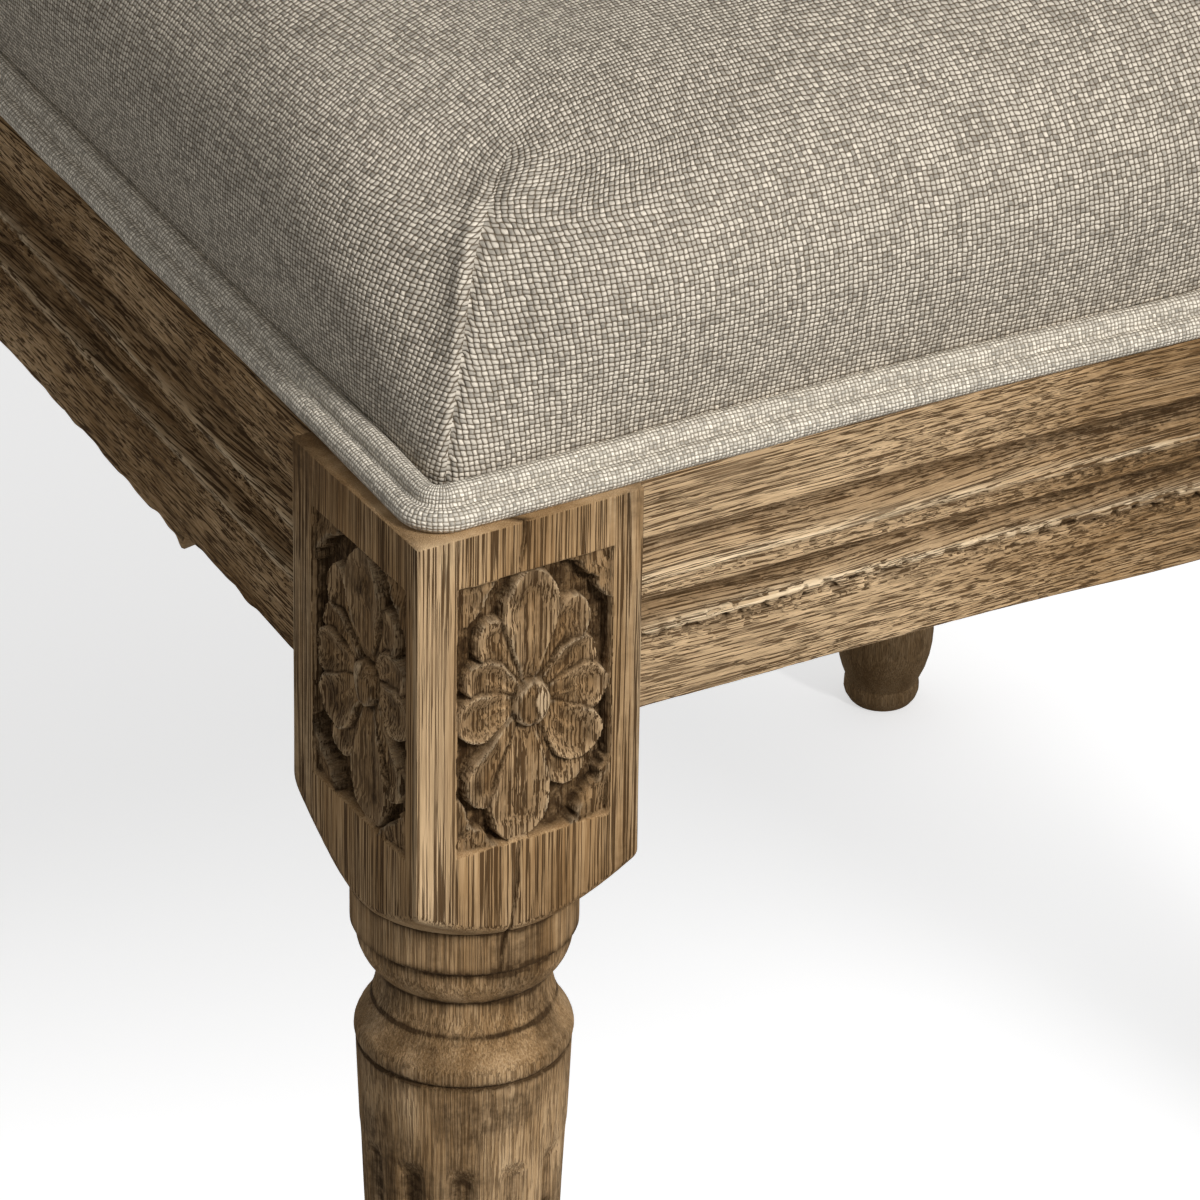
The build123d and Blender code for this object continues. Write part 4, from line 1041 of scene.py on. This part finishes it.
def welt(name, line, place, facing=1):
    """A double welt along a line in plan that runs anticlockwise, so that inward is to its left."""
    travel = travelled(line)
    spots = steps(0.0, travel[-1], 0.8)
    path = np.column_stack([np.interp(spots, travel, line[:, k]) for k in range(2)])
    ahead = unit(np.gradient(path, axis=0))
    inward = np.column_stack([-ahead[:, 1], ahead[:, 0]])
    section, length = cord_pair()
    count, width = len(path), len(section)
    s = np.repeat(spots[:, None], width, 1)
    wobble = noise(np.stack([s.ravel() / 18.0, np.tile(length, count) / 6.0], 1), 31)
    swelling = 1.0 + 0.045 * wobble.reshape(count, width, 1)
    middle = section.mean(axis=0)
    cords = middle + (section - middle) * swelling
    points = place(path[:, None] + inward[:, None] * cords[:, :, :1], cords[:, :, 1])
    quads = grid_faces(count, width)
    caps = (np.arange(width), np.arange((count - 1) * width, count * width)[::-1])
    if facing > 0:
        quads = quads[:, ::-1]
    cloth = np.stack([s, np.repeat(length[None], count, 0)], -1).reshape(-1, 2)
    cord = make_object(name + "_sewn", points.reshape(-1, 3), quads, caps, uv=cloth[quads] / 1000.0)
    stand_for(cord, name, materials["welt"])


ring_side = 900
ring_corner = 30
end_gap = 0.6
seat_ring, _, seat_edge = rounded_ring(seat_corners(cord_inset), 8.0, ring_side, ring_corner)
seat_ring[:, 1] -= seat_bow(seat_ring[:, 0], cord_inset) * (seat_edge == 0)
rear_start = 3 * (ring_side + ring_corner) + ring_corner // 2
front_run = np.concatenate([seat_ring[rear_start:], seat_ring[:rear_start]])
welt("seat_welt", front_run[front_run[:, 1] < post_front - end_gap], seat_place)
rear_run = seat_ring[(seat_edge == 2) & (np.abs(seat_ring[:, 0]) < post_inner - end_gap)]
welt("seat_welt_rear", rear_run, seat_place)
back_welt_inset = -1.1 - cord_radius
back_welt_base = 16.0
back_ring = rounded_ring(back_corners(back_welt_inset), 8.7, 300, 24)[0]
back_ring = np.concatenate([back_ring, back_ring[:1]])
for name, facing in (("back_welt_front", 1), ("back_welt_rear", -1)):
    welt(name, back_ring, back_place(facing, back_welt_base), facing)

# Materials of the pieces that keep their CAD form
finish_of = {
    "corner_block": "block_wood",
    "corner_block_screws": "screw_steel",
    "seat_webbing": "jute",
    "back_webbing": "back_jute",
    "seat_hessian": "hessian",
    "back_hessian": "back_hessian",
    "dust_cover": "dust_cloth",
    "back_post": "post_oak_in_painted_shade",
    "front_leg": "oak_upright",
    "side_rail": "oak_deep",
    **dict.fromkeys(("seat_foam", "back_foam"), "foam"),
    **dict.fromkeys(("seat_cover", "back_cover"), "linen"),
    **dict.fromkeys(("seat_welt", "back_welt"), "welt"),
    **dict.fromkeys(("front_rail", "back_rail", "crest_rail", "lower_back_rail"), "oak_across"),
}
for name, node in nodes.items():
    best = max((key for key in finish_of if name.startswith(key)), key=len)
    node.data.materials.clear()
    node.data.materials.append(materials[finish_of[best]])

# Floor and light
floor_glow = 0.53
floor_seen = (0.90, 0.90, 0.90)
floor_unseen = (0.48, 0.48, 0.48)
sky_strength = 0.36
white = (1.0, 1.0, 1.0, 1.0)
bpy.ops.mesh.primitive_plane_add(size=80.0)
floor = bpy.context.object
floor.name = "floor"


def studio_floor():
    """A pale floor that looks white to the camera and throws only a little light back at the chair."""
    g = Graph("studio_floor")
    seen = g.node("ShaderNodeLightPath", {}).outputs["Is Camera Ray"]
    g.tree.links.new(g.times(seen, floor_glow), g.shader.inputs["Emission Strength"])
    g.shader.inputs["Emission Color"].default_value = white
    return g.finish(g.mix(seen, floor_unseen, floor_seen), 0.9, 0.0)


floor.data.materials.append(studio_floor())

world = bpy.data.worlds.new("studio")
scene.world = world
world.use_nodes = True
sky = world.node_tree.nodes["Background"]
sky.inputs["Color"].default_value = white
sky.inputs["Strength"].default_value = sky_strength


def studio_light(name, kind, place, aim, power, **settings):
    light = bpy.data.objects.new(name, bpy.data.lights.new(name, kind))
    scene.collection.objects.link(light)
    light.data.energy = power
    for key, value in settings.items():
        setattr(light.data, key, value)
    light.location = place
    light.rotation_euler = (Vector(aim) - Vector(place)).to_track_quat("-Z", "Y").to_euler()
    light.visible_camera = False


key_power = 78.0
accent_power = 250.0
key_place = (0.45, -2.9, 2.6)
key_aim = (-0.1, -0.2, 0.4)
accent_place = (0.3, -2.5, 1.9)
leg_corner = (-0.215, -0.29, 0.41)
studio_light("key", "AREA", key_place, key_aim, key_power, shape="DISK", size=0.9)
accent = {"spot_size": math.radians(9.0), "spot_blend": 1.0, "shadow_soft_size": 0.25}
studio_light("accent", "SPOT", accent_place, leg_corner, accent_power, **accent)

# Camera, in degrees, metres and millimetres of lens
camera_azimuth = -30.725
camera_elevation = 30.604
camera_roll = 0.907
camera_place = (-1.0097, -1.6562, 1.3435)
camera_lens = 258.13


def camera_frame(azimuth, elevation, roll):
    """Right, up and back directions of a camera that looks at the chair."""
    a, e, r = (math.radians(v) for v in (azimuth, elevation, roll))
    back = Vector((math.sin(a) * math.cos(e), -math.cos(a) * math.cos(e), math.sin(e)))
    right = Vector((math.cos(a), math.sin(a), 0.0))
    up = back.cross(right)
    c, s = math.cos(r), math.sin(r)
    return c * right + s * up, c * up - s * right, back


camera = bpy.data.objects.new("camera", bpy.data.cameras.new("camera"))
scene.collection.objects.link(camera)
turn = Matrix(camera_frame(camera_azimuth, camera_elevation, camera_roll)).transposed().to_4x4()
camera.matrix_world = Matrix.Translation(camera_place) @ turn
camera.data.sensor_width = 36.0
camera.data.lens = camera_lens
camera.data.clip_end = 200.0
scene.camera = camera

scene.view_settings.view_transform = "Standard"
